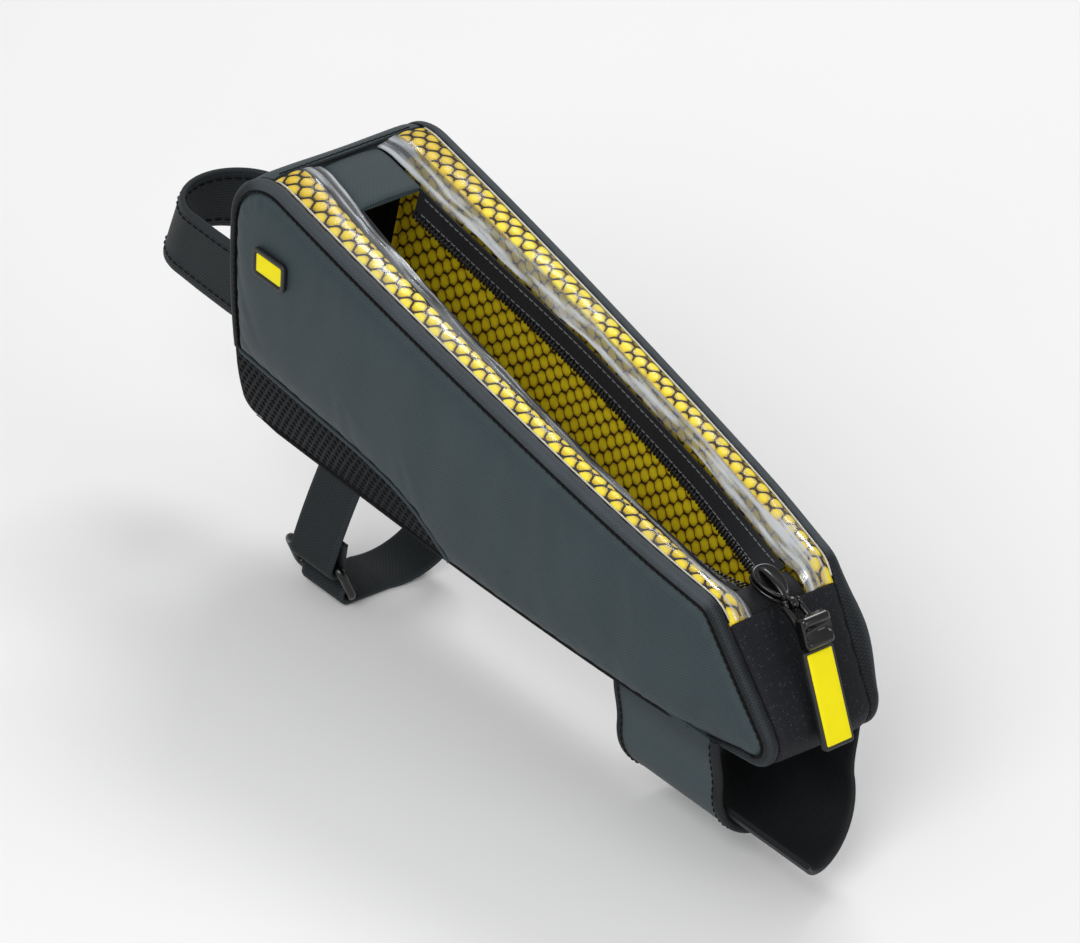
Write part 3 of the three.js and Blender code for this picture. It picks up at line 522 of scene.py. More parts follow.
def speckled_material(name, dark, light, speck, pitch, depth, **values):
    """Black woven cloth with scattered paler yarns."""
    skin = Surface(name)
    yarn, cloudy = skin.weave(pitch), skin.noise(60, 4)
    cell = skin.scaled((1 / pitch[0], 1 / pitch[1], 1))
    whole = skin.add("VectorMath", {0: cell}, operation="FLOOR")
    chance = skin.add("TexWhiteNoise", {"Vector": whole})
    shown = skin.math("MULTIPLY", skin.share(chance, 0.86, 1.1), yarn)
    tone = skin.total((0.5, yarn), (0.35, cloudy), (0.5, skin.wear_and_light_mark()))
    ground = skin.ramp(tone, (0.1, dark), (0.9, light))
    mixed = skin.add("Mix", {0: shown, 6: ground, 7: (*speck, 1)}, out=2, data_type="RGBA")
    relief = skin.bump(skin.total((0.9, yarn), (0.2, skin.noise(1800, 2))), 0.7, depth)
    return skin.finish(mixed, skin.between(cloudy, 0.55, 0.75), Normal=relief, **values)


RIB_PITCH = 1.1
TWILL_PITCH = 0.55
TWILL_SLANT = 0.7


def webbing_material(name, dark, light, **values):
    """Narrow woven webbing: ribs along its length crossed by a slanting twill."""
    skin = Surface(name)
    along, across = skin.place()
    rib = skin.math("ABSOLUTE", skin.ripple(across, RIB_PITCH))
    slant = skin.total((1.0, along), (TWILL_SLANT, across))
    twill = skin.math("MULTIPLY_ADD", skin.ripple(slant, TWILL_PITCH), 0.5, 0.5)
    cloudy = skin.noise(70, 4)
    tone = skin.total((0.35, rib), (0.25, twill), (0.3, cloudy), (0.5, skin.wear_and_light_mark()))
    relief = skin.bump(skin.total((0.7, rib), (0.4, twill)), 0.7, 0.14)
    colour = skin.ramp(tone, (0.1, dark), (0.9, light))
    return skin.finish(colour, skin.between(cloudy, 0.55, 0.72), Normal=relief, **values)


def plastic_material(name, dark, light, rough, grain_mm, **values):
    """Moulded plastic: fine grain, rubbed patches and paler edges."""
    skin = Surface(name)
    cloudy, grain = skin.noise(120, 4), skin.noise(0.6 / (grain_mm * MM), 2)
    tone = skin.total((0.5, cloudy), (0.2, grain), (0.6, skin.wear_and_light_mark()))
    colour = skin.ramp(tone, (0.2, dark), (0.9, light))
    relief = skin.bump(grain, 0.25, 0.03)
    return skin.finish(colour, skin.between(cloudy, *rough), Normal=relief, **values)


NET_SNAP = 1.7
LINING_CELL = 6.4
LINING_STEP = 2.5
LINING_LINE = (0.22, 0.52)
NET_AMBER = (0.03, 0.016, 0.002)
NET_DEEP = (0.60, 0.39, 0.004)
NET_PALE = (0.90, 0.74, 0.010)


def net_lines(skin, cell, step):
    """Share of open cell at a point of the cloth: 0 on a strand of the net, 1 between strands."""
    along, across = skin.place()
    wave = skin.math("COSINE", skin.math("MULTIPLY", along, 2 * math.pi / cell))
    snap = skin.math("TANH", skin.math("MULTIPLY", wave, NET_SNAP))
    shift = skin.math("MULTIPLY", snap, 0.5 * step / math.tanh(NET_SNAP))
    even = skin.math("SUBTRACT", across, shift)
    odd = skin.math("ADD", skin.math("SUBTRACT", across, step), shift)
    gaps = [skin.math("ABSOLUTE", skin.math("WRAP", strand, step, -step)) for strand in (even, odd)]
    return skin.share(skin.math("MINIMUM", *gaps), *LINING_LINE)


def net_material(name, drawn=None):
    """Yellow cells that deepen to amber at the dark net; drawn is the cell and step of a net to draw."""
    skin = Surface(name)
    yarn, cloudy = skin.weave((0.45, 0.45)), skin.noise(90, 4)
    tone = skin.total((0.75, skin.wear_and_light_mark()), (0.2, cloudy), (0.12, yarn))
    if drawn:
        tone = skin.math("MULTIPLY", tone, net_lines(skin, *drawn))
    colour = skin.ramp(tone, (0.12, NET_AMBER), (0.32, NET_DEEP), (0.75, NET_PALE))
    relief = skin.bump(skin.total((0.7, yarn), (0.3, skin.noise(900, 3))), 0.4, 0.06)
    return skin.finish(colour, skin.between(cloudy, 0.42, 0.6), Normal=relief, Sheen_Weight=0.08)


FILM_MIRROR = 0.4
FILM_STREAK = (0.045, 0.40, 1.0)
# Span of x over which the painted glare patches grow weaker towards the front.
FILM_GLARE_FADE_X = (-90, -30)


def film_material(name):
    """Clear pliable film: a share of the light is mirrored, the rest goes through; its opacity holds a milky
    haze with painted glare streaks, and painted glare patches that are weaker towards the front.
    """
    skin = Surface(name)
    cloudy = skin.noise(45, 5)
    streak = skin.add("TexNoise", {"Vector": skin.scaled(FILM_STREAK), "Scale": 1.0, "Detail": 1.5})
    # Painted glare streaks and patches: noise raises the pale film's opacity.
    glare_streaks = skin.share(streak, 0.46, 0.62)
    haze_and_glare = skin.math("MULTIPLY", skin.wear_and_light_mark(), skin.between(glare_streaks, 0.07, 0.60))
    glare = skin.between(skin.share(skin.noise(28, 3), 0.46, 0.66), 0.012, 0.12)
    front = skin.between(skin.share(skin.place()[0], *FILM_GLARE_FADE_X), 0.3, 1.0)
    return skin.finish(
        skin.ramp(cloudy, (0.2, (0.70, 0.75, 0.80)), (0.9, (0.95, 0.97, 1.0))),
        skin.between(cloudy, 0.04, 0.16),
        Normal=skin.bump(skin.total((0.6, cloudy), (0.4, streak)), 0.4, 0.7),
        Metallic=FILM_MIRROR,
        Alpha=skin.math("ADD", haze_and_glare, skin.math("MULTIPLY", glare, front)),
    )


# Painted shade in the mesh's holes and painted highlight on its crowns, around the yarn's own colour.
MESH_HOLLOW_SHADE = (0.0005, 0.0005, 0.0006)
MESH_YARN = (0.002, 0.0025, 0.003)
MESH_CROWN_HIGHLIGHT = (0.008, 0.010, 0.013)


def relief_mesh_material(name, **values):
    """Coarse open mesh: painted shade in the hollows and painted highlights on the crowns."""
    skin = Surface(name)
    cloudy, fibre = skin.noise(90, 4), skin.noise(2200, 2)
    tone = skin.total((0.75, skin.wear_and_light_mark()), (0.2, cloudy), (0.15, fibre))
    colour = skin.ramp(tone, (0.2, MESH_HOLLOW_SHADE), (0.65, MESH_YARN), (1.0, MESH_CROWN_HIGHLIGHT))
    return skin.finish(colour, skin.between(cloudy, 0.5, 0.7), Normal=skin.bump(fibre, 0.5, 0.06), **values)


BLACK_DARK = (0.003, 0.003, 0.004)
DULL = dict(Specular_IOR_Level=0.15)

coated = cloth_material(
    "coated_cloth", (0.018, 0.028, 0.032), (0.045, 0.065, 0.072), (0.6, 0.5), 0.1, strength=0.4,
    Sheen_Weight=0.03, Sheen_Roughness=0.5, Specular_IOR_Level=0.2,
)
band_cloth = cloth_material(
    "band_cloth", (0.002, 0.003, 0.004), (0.058, 0.070, 0.080), (0.55, 0.55), 0.1, strength=0.3, contrast=0.2,
    Sheen_Weight=0.03, Specular_IOR_Level=0.18,
)
black_cloth = cloth_material(
    "black_cloth", BLACK_DARK, (0.014, 0.016, 0.018), (0.7, 0.7), 0.1, Sheen_Weight=0.02, **DULL
)
rear_cloth = speckled_material(
    "rear_cloth", BLACK_DARK, (0.018, 0.020, 0.024), (0.060, 0.060, 0.075), (0.55, 0.55), 0.12,
    Sheen_Weight=0.03, Sheen_Roughness=0.4, Sheen_Tint=(0.6, 0.56, 0.7, 1), **DULL,
)
tape_cloth = cloth_material(
    "tape_cloth", BLACK_DARK, (0.022, 0.023, 0.026), (0.4, 1.1), 0.12, Sheen_Weight=0.03, **DULL
)
webbing = webbing_material(
    "webbing", (0.006, 0.008, 0.009), (0.025, 0.031, 0.034), Sheen_Weight=0.03, Sheen_Roughness=0.4, **DULL
)
net_yellow = net_material("net_yellow")
lining_yellow = net_material("lining_yellow", (LINING_CELL, LINING_STEP))
net_cord = cloth_material("net_cord", (0.002, 0.002, 0.002), (0.010, 0.009, 0.008), (0.35, 0.35), 0.05)
mesh_black = relief_mesh_material(
    "mesh_black", Sheen_Weight=0.02, Sheen_Roughness=0.35, Sheen_Tint=(0.66, 0.62, 0.70, 1),
    Specular_IOR_Level=0.12,
)
film = film_material("clear_film")
# Pale bead on the film's outer seam, coloured as a painted glare line.
film_rim_glare = plastic_material(
    "film_rim_glare", (0.42, 0.40, 0.33), (0.74, 0.72, 0.62), (0.12, 0.3), 0.4,
    Coat_Weight=0.6, Specular_IOR_Level=0.7,
)
thread = cloth_material(
    "thread", (0.001, 0.001, 0.001), (0.009, 0.009, 0.010), (0.25, 0.25), 0.05, Specular_IOR_Level=0.1
)
pale_thread = cloth_material("pale_thread", (0.06, 0.065, 0.07), (0.16, 0.17, 0.18), (0.25, 0.25), 0.05)
gloss_black = plastic_material(
    "gloss_black", (0.002, 0.002, 0.002), (0.010, 0.010, 0.011), (0.12, 0.28), 0.3,
    Specular_IOR_Level=0.4, Coat_Weight=0.2, Coat_Roughness=0.05,
)
coil_black = plastic_material("coil_black", (0.006, 0.006, 0.007), (0.03, 0.03, 0.033), (0.25, 0.4), 0.2)
satin_black = plastic_material("satin_black", (0.005, 0.005, 0.006), (0.022, 0.022, 0.024), (0.35, 0.5), 0.3)
tab_yellow = plastic_material(
    "tab_yellow", (0.82, 0.70, 0.001), (0.95, 0.86, 0.002), (0.42, 0.56), 0.4, **DULL
)


# Stitches and seams

STITCH_BOW = np.array((-0.45, 0.55, 1.0, 0.55, -0.45))
SEAM_STITCH = dict(pitch=2.3, long=2.1, radius=0.38, rise=0.2)
CROSS_STITCH = dict(pitch=2.3, long=2.1, radius=0.22, rise=0.16)
TAPE_STITCH = dict(pitch=2.2, long=1.6, radius=0.2, rise=0.2)
FLAP_STITCH = dict(pitch=2.6, long=1.9, radius=0.2, rise=0.2)
FOOT_STITCH = dict(pitch=2.6, long=1.9, radius=0.24, rise=0.24)
LOOP_STITCH = dict(pitch=3.0, long=2.2, radius=0.22, rise=0.22)


def stitch_row(shape, line, out, pitch, long, radius, rise):
    """Short threads along a line, each dipping into the cloth at both ends; out points off the cloth."""
    reach = running_length(line)
    out = np.broadcast_to(np.asarray(out, float), line.shape)
    for start in np.arange(pitch / 2, reach[-1] - long, pitch):
        s = start + long * np.linspace(0, 1, len(STITCH_BOW))
        away = unit(lookup(s, reach, out))
        shape.tube(lookup(s, reach, line) + away * (STITCH_BOW * rise)[:, None], radius, 5, up=away.mean(0))


def on_side(points, lift=0.0):
    """Points of the side plane put on the bag's side."""
    x, z = points.T
    return join(x, half_width(x, z) + lift, z)


SLACK = dict(wide=3.6, x=102.0, z=24.0, x_run=20.0, z_run=13.0)


def slack(x, z, side):
    """Extra width of the right side, which is eased outwards at the middle of its rear edge."""
    wide = SLACK["wide"] if side == SIDES[1] else 0.0
    return wide * bell(x - SLACK["x"], SLACK["x_run"]) * bell(z - SLACK["z"], SLACK["z_run"])


PUCKER = dict(pitch=7.0, high=0.16, off=2.2, wide=2.4)


def pucker(s):
    """Wave of the small puckers that stitches pull into the cloth along a seam."""
    return np.cos(2 * np.pi * s / PUCKER["pitch"])


# Padded side walls

WALL_COLUMNS = 171
WALL_ROWS = 65
EASE_SHARE = 0.65
FOOT_STEP = 0.2

wall_line = Outline(PANEL_INSET, PANEL_INSET)
front_foot_z = mesh_edge(OUTLINE["x"][0]) + GAP
front_points = wall_line.part(wall_line.starts[FRONT], wall_line.starts[FRONT_TOP], FOOT_STEP)
front_foot = wall_line.starts[FRONT] + FOOT_STEP * float(np.argmin(abs(front_points[:, 1] - front_foot_z)))
rear_foot_end = wall_line.starts[REAR_FOOT + 1]
foot_x = np.linspace(wall_line.at(front_foot)[0][0], wall_line.at(rear_foot_end)[0][0], 240)
foot_points = join(foot_x, np.maximum(panel_foot(foot_x), mesh_edge(foot_x) + GAP))
wall_rim = {
    "foot": np.concatenate([foot_points, wall_line.part(rear_foot_end, wall_line.middle(REAR_FOOT))[1:]]),
    "top": wall_line.part(wall_line.middle(FRONT_TOP), wall_line.middle(REAR_TOP)),
    "front": wall_line.part(front_foot, wall_line.middle(FRONT_TOP)),
    "rear": wall_line.part(wall_line.middle(REAR_FOOT), wall_line.middle(REAR_TOP)),
}


def ease(count):
    """Shares from 0 to 1 that lie closer together near both ends."""
    t = np.linspace(0, 1, count)
    return t + EASE_SHARE * (0.5 - 0.5 * np.cos(np.pi * t) - t)


def eased(line, count):
    reach = running_length(line)
    return lookup(reach[-1] * ease(count), reach, line)


def patch(rim, columns, rows):
    """Grid of side plane points between four lines that meet at its corners."""
    foot, top = eased(rim["foot"], columns), eased(rim["top"], columns)
    front, rear = eased(rim["front"], rows), eased(rim["rear"], rows)
    u = ease(columns)[:, None, None]
    v = ease(rows)[None, :, None]
    ruled = (1 - v) * foot[:, None] + v * top[:, None] + (1 - u) * front[None] + u * rear[None]
    corners = (1 - u) * ((1 - v) * foot[0] + v * top[0]) + u * ((1 - v) * foot[-1] + v * top[-1])
    return ruled - corners


def rim_distance(points, rim):
    """Distance from each point of a grid to the nearest of the rim's points, and which that is."""
    far = np.stack([np.hypot(*(column[:, None] - rim[None]).transpose(2, 0, 1)) for column in points])
    return far.min(-1), far.argmin(-1)


wall_grid = patch(wall_rim, WALL_COLUMNS, WALL_ROWS)
wall_edge_run = np.concatenate([running_length(line) for line in wall_rim.values()])
wall_rim_far, wall_rim_near = rim_distance(wall_grid, np.concatenate(list(wall_rim.values())))

SIM = dict(frames=20, pressure=4.0, growth=0.02, cap=3.4, share=0.3, gravity=0.2, bending=2.5, quality=6)


def refine(grid, axis):
    """A smooth point between each two of a grid's points along one axis."""
    grid = np.moveaxis(grid, axis, 0)
    ends = np.concatenate([2 * grid[:1] - grid[1:2], grid, 2 * grid[-1:] - grid[-2:-1]])
    fine = np.empty((2 * len(grid) - 1, *grid.shape[1:]))
    fine[::2] = grid
    fine[1::2] = (9 * (ends[1:-2] + ends[2:-1]) - ends[:-3] - ends[3:]) / 16
    return np.moveaxis(fine, 0, axis)


def simulated_swell():
    """Swell of the wall's outer cloth, sewn down round its rim and blown up from below, by a simulation.

    The cloth is cut a little larger than its outline, so it buckles softly. The swell is capped.
    """
    flat = wall_grid[::2, ::2]
    columns, rows = flat.shape[:2]
    x, z = flat[..., 0], flat[..., 1]
    rest = half_width(x, z)
    mesh = bpy.data.meshes.new("skin")
    points = join(x, rest, z).reshape(-1, 3) * MM
    mesh.from_pydata(points.tolist(), [], grid_faces(columns, rows)[:, ::-1].tolist())
    skin = bpy.data.objects.new("skin", mesh)
    bpy.context.scene.collection.objects.link(skin)
    i, j = np.divmod(np.arange(columns * rows), rows)
    rim = (i == 0) | (j == 0) | (i == columns - 1) | (j == rows - 1)
    skin.vertex_groups.new(name="sewn").add(np.flatnonzero(rim).tolist(), 1.0, "REPLACE")
    cloth = skin.modifiers.new("cloth", "CLOTH")
    cloth.collision_settings.use_collision = False
    settings = cloth.settings
    settings.quality = SIM["quality"]
    settings.bending_stiffness = SIM["bending"]
    settings.vertex_group_mass = "sewn"
    settings.shrink_min = -SIM["growth"]
    settings.use_pressure = True
    settings.uniform_pressure_force = SIM["pressure"]
    settings.effector_weights.gravity = SIM["gravity"]
    scene = bpy.context.scene
    for number in range(1, SIM["frames"] + 1):
        scene.frame_set(number)
    done = skin.evaluated_get(bpy.context.evaluated_depsgraph_get()).data
    place = np.empty(len(done.vertices) * 3, np.float32)
    done.vertices.foreach_get("co", place)
    swell = place.reshape(columns, rows, 3)[..., 1] / MM - rest
    bpy.data.objects.remove(skin)
    bpy.data.meshes.remove(mesh)
    scene.frame_set(1)
    return refine(refine(SIM["cap"] * np.tanh(swell / SIM["cap"]), 0), 1)


def wall_swell(far, run, simulated):
    """How far the padding stands off the side's base surface."""
    plain = (PANEL_PUFF + PANEL_TUCK) * (1 - np.exp(-far / PUFF_RUN)) - PANEL_TUCK
    blown = simulated - PANEL_TUCK * np.exp(-far / 2)
    dents = PUCKER["high"] * bell(far - PUCKER["off"], PUCKER["wide"]) * pucker(run)
    return plain + (blown - plain) * SIM["share"] - dents


wall_relief = wall_swell(wall_rim_far, wall_edge_run[wall_rim_near], simulated_swell())


def side_wall(side):
    x, z = wall_grid[..., 0], wall_grid[..., 1]
    base = half_width(x, z) + slack(x, z, side)
    front, back = join(x, base + wall_relief, z), join(x, base - PANEL_THICK, z)
    wear = 0.28 * bell(wall_rim_far - 1.4, 1.1)
    shape = Shape().slab(front[:, ::-1], back[:, ::-1], wall_grid[:, ::-1], wear[:, ::-1], back_finish=1)
    piece = side_piece("wall", side, shape, [coated, black_cloth], "side_panel")


# Band between two seams round the front, top and rear edges

BAND_FOOT_Z = 24.4
BAND_TAIL_X = 84
BAND_CROWN = 0.28
BAND_LAP = 0.8
BAND_BEND = 0.57
BAND_FLAT = 0.62
BAND_TUCK = (0.3, 0.05)
BAND_PULL = 0.045
BAND_STEP = 1.1
# Painted light on the band: "top" lightens it where it faces up and darkens it elsewhere, "rear" darkens it
# further where it faces forward, and "crown" is a painted highlight along its rounded crown.
BAND_PAINTED_LIGHT = dict(top=0.35, rear=0.15, crown=0.3, crown_wide=0.8)
SEAM_CORD = dict(radius=0.46, sink=0.45, stitch_lift=0.1)
COVER_CORD = 0.36
END_CORD = dict(radius=0.45, sink=0.35, top_z=20)
BASE_CORD = dict(sink=1.0, taper=14, thin=0.15, full=0.75, past=12)
band_from = outer.starts[FRONT] + BAND_FOOT_Z - OUTLINE["round"][0]
band_to = outer.starts[REAR_FOOT + 1] + outer.start_x(REAR_FOOT + 1) - BAND_TAIL_X


def band_section():
    """Depth below the outline and way in from the side, as shares of the band's width."""
    corner = np.radians(np.linspace(0, 90, 9))
    top = join(0, np.linspace(1, BAND_FLAT, 6))
    bend = BAND_BEND * (1 - join(np.cos(corner), np.sin(corner)))
    skin = np.concatenate([top, bend, top[::-1, ::-1]])
    way = running_length(skin)
    t = way / way[-1]
    outward = unit(join(np.gradient(skin[:, 1]), -np.gradient(skin[:, 0])))
    tuck, run = BAND_TUCK
    crown = BAND_CROWN * np.sin(np.pi * t) ** 0.6 - tuck * (bell(t, run) + bell(1 - t, run))
    skin = skin + outward * (crown / BAND)[:, None]
    inner = ((1, 0.43), (0.75, 0.7), (0.43, 1))
    inner_way = way[-1] * BAND + np.array((1.2, 2.2, 3.2))
    return np.concatenate([skin, inner]), np.concatenate([way * BAND, inner_way])


def edge_band(side):
    section, way = band_section()
    depth, inward = section.T
    s = np.arange(band_from - BAND_LAP, band_to, BAND_STEP)
    point, normal = outer.at(s)
    on_base = (point[:, 1] < 1e-3) & (point[:, 0] > 0)
    thin = np.where(on_base, np.minimum(1, (panel_foot(point[:, 0]) - GAP) / BAND), 1.0)
    place = point[:, None] + normal[:, None] * (depth * BAND * thin[:, None])[..., None]
    x, z = place[..., 0], place[..., 1]
    y = half_width(x, z) + slack(x, z, side) * (1 - inward)
    y -= inward * BAND * (1 + BAND_PULL * pucker(s))[:, None]
    # Painted light: lighter facing up, darker facing front, rear and down, with a painted highlight along the
    # crown.
    facing_up = ramped(-normal[:, 1], 0.80, 0.95)
    tone = BAND_PAINTED_LIGHT["top"] * (2 * facing_up - 1) - BAND_PAINTED_LIGHT["rear"] * np.clip(normal[:, 0], 0, 1)
    wear = BAND_PAINTED_LIGHT["crown"] * bell(way - way[10], BAND_PAINTED_LIGHT["crown_wide"]) + tone[:, None]
    shape = Shape().sweep(join(x, y, z), join(s[:, None], way), wear).flipped()
    side_piece("band", side, shape, band_cloth, "edge_band")


def seam_cords(side):
    """Dark sewn lines in the grooves on both sides of the band."""
    shape = Shape()
    inner = Outline(BAND + GAP / 2, BAND + GAP / 2)
    low = inner.starts[FRONT] + front_foot - wall_line.starts[FRONT]
    line = inner.part(low, inner.starts[REAR_FOOT + 1], 1.2)
    eased_out = slack(*line.T, side)
    shape.tube(on_side(line, eased_out - SEAM_CORD["sink"]), SEAM_CORD["radius"])
    stitch_row(shape, on_side(line, eased_out + SEAM_CORD["stitch_lift"]), (0, 1, 0), **SEAM_STITCH)
    shape.tube(cover_point(np.arange(SEAM_X + 1, COVER_REAR_X, 1.5), -0.02), COVER_CORD)
    point, normal = outer.at(np.arange(band_from, band_to, 1.2))
    end_seam = on_side(point + normal * END_CORD["sink"], -BAND - GAP / 2)
    on_cover = (point[:, 0] > SEAM_X) & (point[:, 0] < COVER_REAR_X) & (point[:, 1] > END_CORD["top_z"])
    shape.tube(end_seam[: int(np.argmax(on_cover))], END_CORD["radius"])
    shape.tube(end_seam[len(point) - int(np.argmax(on_cover[::-1])):], END_CORD["radius"])
    base_x = np.arange(OUTLINE["x"][0] + OUTLINE["round"][0], BAND_TAIL_X + BASE_CORD["past"], 1.0)
    radius = np.clip((base_x - base_x[0]) / BASE_CORD["taper"], BASE_CORD["thin"], BASE_CORD["full"])
    shape.tube(on_side(join(base_x, 0), -BASE_CORD["sink"]), radius, 8)
    side_piece("seam", side, shape, thread)


# Front and rear walls, base, and the plain pieces of the cover's middle

END_ROWS = 44
END_TUCK = 0.55


def end_wall(name, node, start, end, crown, skin_material, fold):
    s = np.arange(start, end, 1.0)
    point, normal = outer.at(s)
    t = np.linspace(-1, 1, END_ROWS)
    wide = half_width(*point.T) - PANEL_INSET
    y = wide[:, None] * t
    inset = wide[:, None] * (1 - abs(t))
    ends = np.sin(np.pi * (s - s[0]) / (s[-1] - s[0]))[:, None]
    from_end = np.minimum(s - s[0], s[-1] - s)[:, None]
    sewn = np.exp(-inset / 1.3) + np.exp(-from_end)
    rise = crown * (1 - t**2) * ends - END_TUCK * sewn + 0.5 + 0.12 * pucker(s)[:, None] * np.exp(-inset / 5)
    rise += fold(s[:, None] - s[0], y) * (1 - np.exp(-inset / 4))
    grid = join(point[:, None, 0], y, point[:, None, 1])
    off = join(normal[:, 0], 0, normal[:, 1])[:, None]
    wear = 0.25 * bell(inset - 1.2, 0.9)
    shape = Shape().slab(grid - off * rise[..., None], grid + off * WALL_THICK, join(s[:, None], y), wear, 1)
    piece = make_piece(name, shape.flipped(), [skin_material, black_cloth], replaces=[node])


def front_folds(s, y):
    return 0.18 * np.sin(s / 9 + y / 30) + 0.12 * np.sin(y / 7 + s / 21)


def rear_folds(s, y):
    """Soft drag lines that run from the zip's end towards the lower corners."""
    fan = 0.35 * bell(abs(y) - 3 - s * 0.22, 2.4) * np.exp(-s / 26)
    return 0.22 * np.sin(s / 7 + y / 11) - fan


TOP_SLOPE = 0.9724
seam_s = outer.starts[TOP] + (SEAM_X - outer.start_x(TOP)) / TOP_SLOPE
rear_s = float(np.interp(COVER_REAR_X, outer.points[outer.upper, 0], outer.s[outer.upper])) + GAP


def base_floor():
    low, high = outer.start_x(FOOT_ARC) + GAP, outer.start_x(REAR_FOOT + 1) - GAP
    x = np.linspace(low, high, 150)
    t = np.linspace(-1, 1, 30)
    wide = half_width(x, 0 * x) - PANEL_THICK - GAP
    y = wide[:, None] * t
    inset = np.minimum(wide[:, None] * (1 - abs(t)), np.minimum(x - low, high - x)[:, None])
    tuck = 0.5 * np.exp(-inset / 1.2)
    quilt = 0.18 * np.sin(x / 5.5)[:, None] * np.sin(y / 5.5) * (1 - np.exp(-inset / 4))
    x = x[:, None]
    shape = Shape().slab(join(x, y, 2.4 - tuck), join(x, y, tuck + 0.2 + quilt), join(x, y))
    piece = make_piece("base_floor", shape, black_cloth, replaces=["base_panel"])


def cover_middle(name, node, start, end, thick, sink, material, bulge):
    x = np.linspace(start, end, 50)[:, None]
    t = np.linspace(-1, 1, 36)
    wide = curve(MOUTH, "edge", x) - GAP
    y = wide * t
    z = cover_point(x, 1.0)[..., 2] - sink
    sewn = np.exp(-wide * (1 - abs(t)) / 0.8) + np.exp(-np.minimum(x - start, end - x) / 0.7)
    front = join(x, y, z + bulge * (1 - t**2) - 0.45 * sewn)
    shape = Shape().slab(front, join(x, y, z - thick), join(x, y))
    make_piece(name, shape, [material, black_cloth], replaces=[node])


def cross_seam():
    """Stitched seam that crosses the top behind the rolled front wall."""
    shape = Shape()
    y = np.linspace(-25.5, 25.5, 120)
    x = SEAM_X - 1.4
    stitch_row(shape, join(x, y, outer.height(x) + 0.42), (0.24, 0, 0.97), **CROSS_STITCH)
    x = SEAM_X + GAP / 2
    shape.tube(join(x, y, outer.height(x) - 0.35), 0.34)
    make_piece("cross_seam", shape, thread)


# Net strips and clear film of the top cover

NET_CELL = 6.4
NET_STEP = 2.85
NET_LINE = 0.32
# Painted shade along the net strips: the cells are darker towards the front and the rear.
NET_PAINTED_SHADE = table(
    "x tone", (-102, 0.30), (-84, 0.48), (-58, 0.80), (-30, 1.0), (20, 0.9), (60, 0.62), (95, 0.66)
)
FILM_THICK = 0.35
FILM_WIDE = 17
COVER_FROM = SEAM_X + GAP


def net_place(x, across, lift):
    """Point of the net strip at a distance in from its outer seam."""
    return cover_point(x, across / cover_wide(x), lift)


def net_strand(x, k, step, cell):
    """Distance across the net of its k-th strand, which swings to meet its neighbours in turn."""
    swing = np.tanh(NET_SNAP * np.cos(2 * np.pi * x / cell)) / math.tanh(NET_SNAP)
    return k * step + (-1) ** k * 0.5 * step * swing


def cell_height(x, across, step, cell):
    """How deep a point lies inside its net cell, from 0 on a strand to 1."""
    strands = range(-1, int(across.max() / step) + 3)
    near = np.min([abs(across - net_strand(x, k, step, cell)) for k in strands], 0)
    return np.clip(near / (step * 0.8), 0, 1)


def net_strip(side):
    x = np.linspace(COVER_FROM, COVER_REAR_X, 380)[:, None]
    across = cover_wide(x) * NET_SHARE * np.linspace(0, 1, 36)
    cell = cell_height(x, across, NET_STEP, NET_CELL)
    front = net_place(x, across, 0.5 * (1 - (1 - cell) ** 2) - 0.65)
    back = net_place(x, across, -1.0)
    # Cell depth times the painted shade along the strip.
    shape = Shape().slab(front, back, join(x, across), cell * curve(NET_PAINTED_SHADE, "tone", x)).flipped()
    strip = side_piece("net_cells", side, shape, net_yellow, "net_band")
    cords = Shape()
    x = np.arange(COVER_FROM + 0.5, COVER_REAR_X - 0.5, 0.55)
    for k in range(int(across.max() / NET_STEP) + 3):
        place = net_strand(x, k, NET_STEP, NET_CELL)
        inside = (place > 0.1) & (place < cover_wide(x) * NET_SHARE - 0.1)
        for run in np.split(np.arange(len(x)), np.flatnonzero(np.diff(inside.astype(int))) + 1):
            if inside[run[0]] and len(run) > 3:
                cords.tube(net_place(x[run], place[run], -0.42), NET_LINE, 5)
    return [strip, side_piece("net_cords", side, cords, net_cord)]


def film_waves(x, share):
    """Lift of the clear film: slack ripples that grow towards the opening."""
    loose = ramped(share, 0.35, 1.0) ** 1.3
    wave = 0.55 * np.sin(x / 7.5 + 2.2 * share) + 0.40 * np.sin(x / 3.9 - 3.1 * share + 0.7)
    dents = 0.07 * np.sin(x / 1.05 + 3 * np.sin(x / 17)) * np.sin(9 * share + x / 6)
    return 0.32 + 0.10 * np.sin(x / 11 + share * 5) + dents + loose * wave * 0.75


def clear_film(side, sewn_on):
    x = np.linspace(COVER_FROM, COVER_REAR_X, 380)[:, None]
    share = np.linspace(0.0, 1.0, 30)
    fade = np.clip((COVER_REAR_X - x) / 8, 0.25, 1) * np.clip((x - COVER_FROM) / 6, 0.25, 1)
    front = cover_point(x, share, film_waves(x, share) * fade)
    # Mask of the film's haze and painted glare streaks: from past the net, reaching further in towards the
    # rear.
    glare_from = NET_SHARE - 0.04 - 0.38 * ramped(x, 64, 84)
    bare = ramped(share - glare_from, 0, 0.14)
    haze_and_glare = bare * bare * (3 - 2 * bare)
    shape = Shape().slab(front, front - (0, 0, FILM_THICK), join(x, FILM_WIDE * share), haze_and_glare).flipped()
    sheet = side_piece("film", side, shape, film, "clear_window")
    line = np.linspace(COVER_FROM + 1, COVER_REAR_X - 1, 200)
    # Painted glare line along the film's outer seam.
    rim = Shape().tube(cover_point(line, 0.02, 0.25), 0.3, 8, squash=0.8)
    edge = side_piece("film_rim_glare", side, rim, film_rim_glare)


# Zip tapes and their coil

TAPE_WIDE = 9.0
TAPE_THICK = 0.7
TAPE_ROWS = (1.6, 6.4)
COIL = dict(pitch=1.35, along=1.05, out=0.75, inset=1.15, lift=0.45, slant=0.3, wire=0.36)


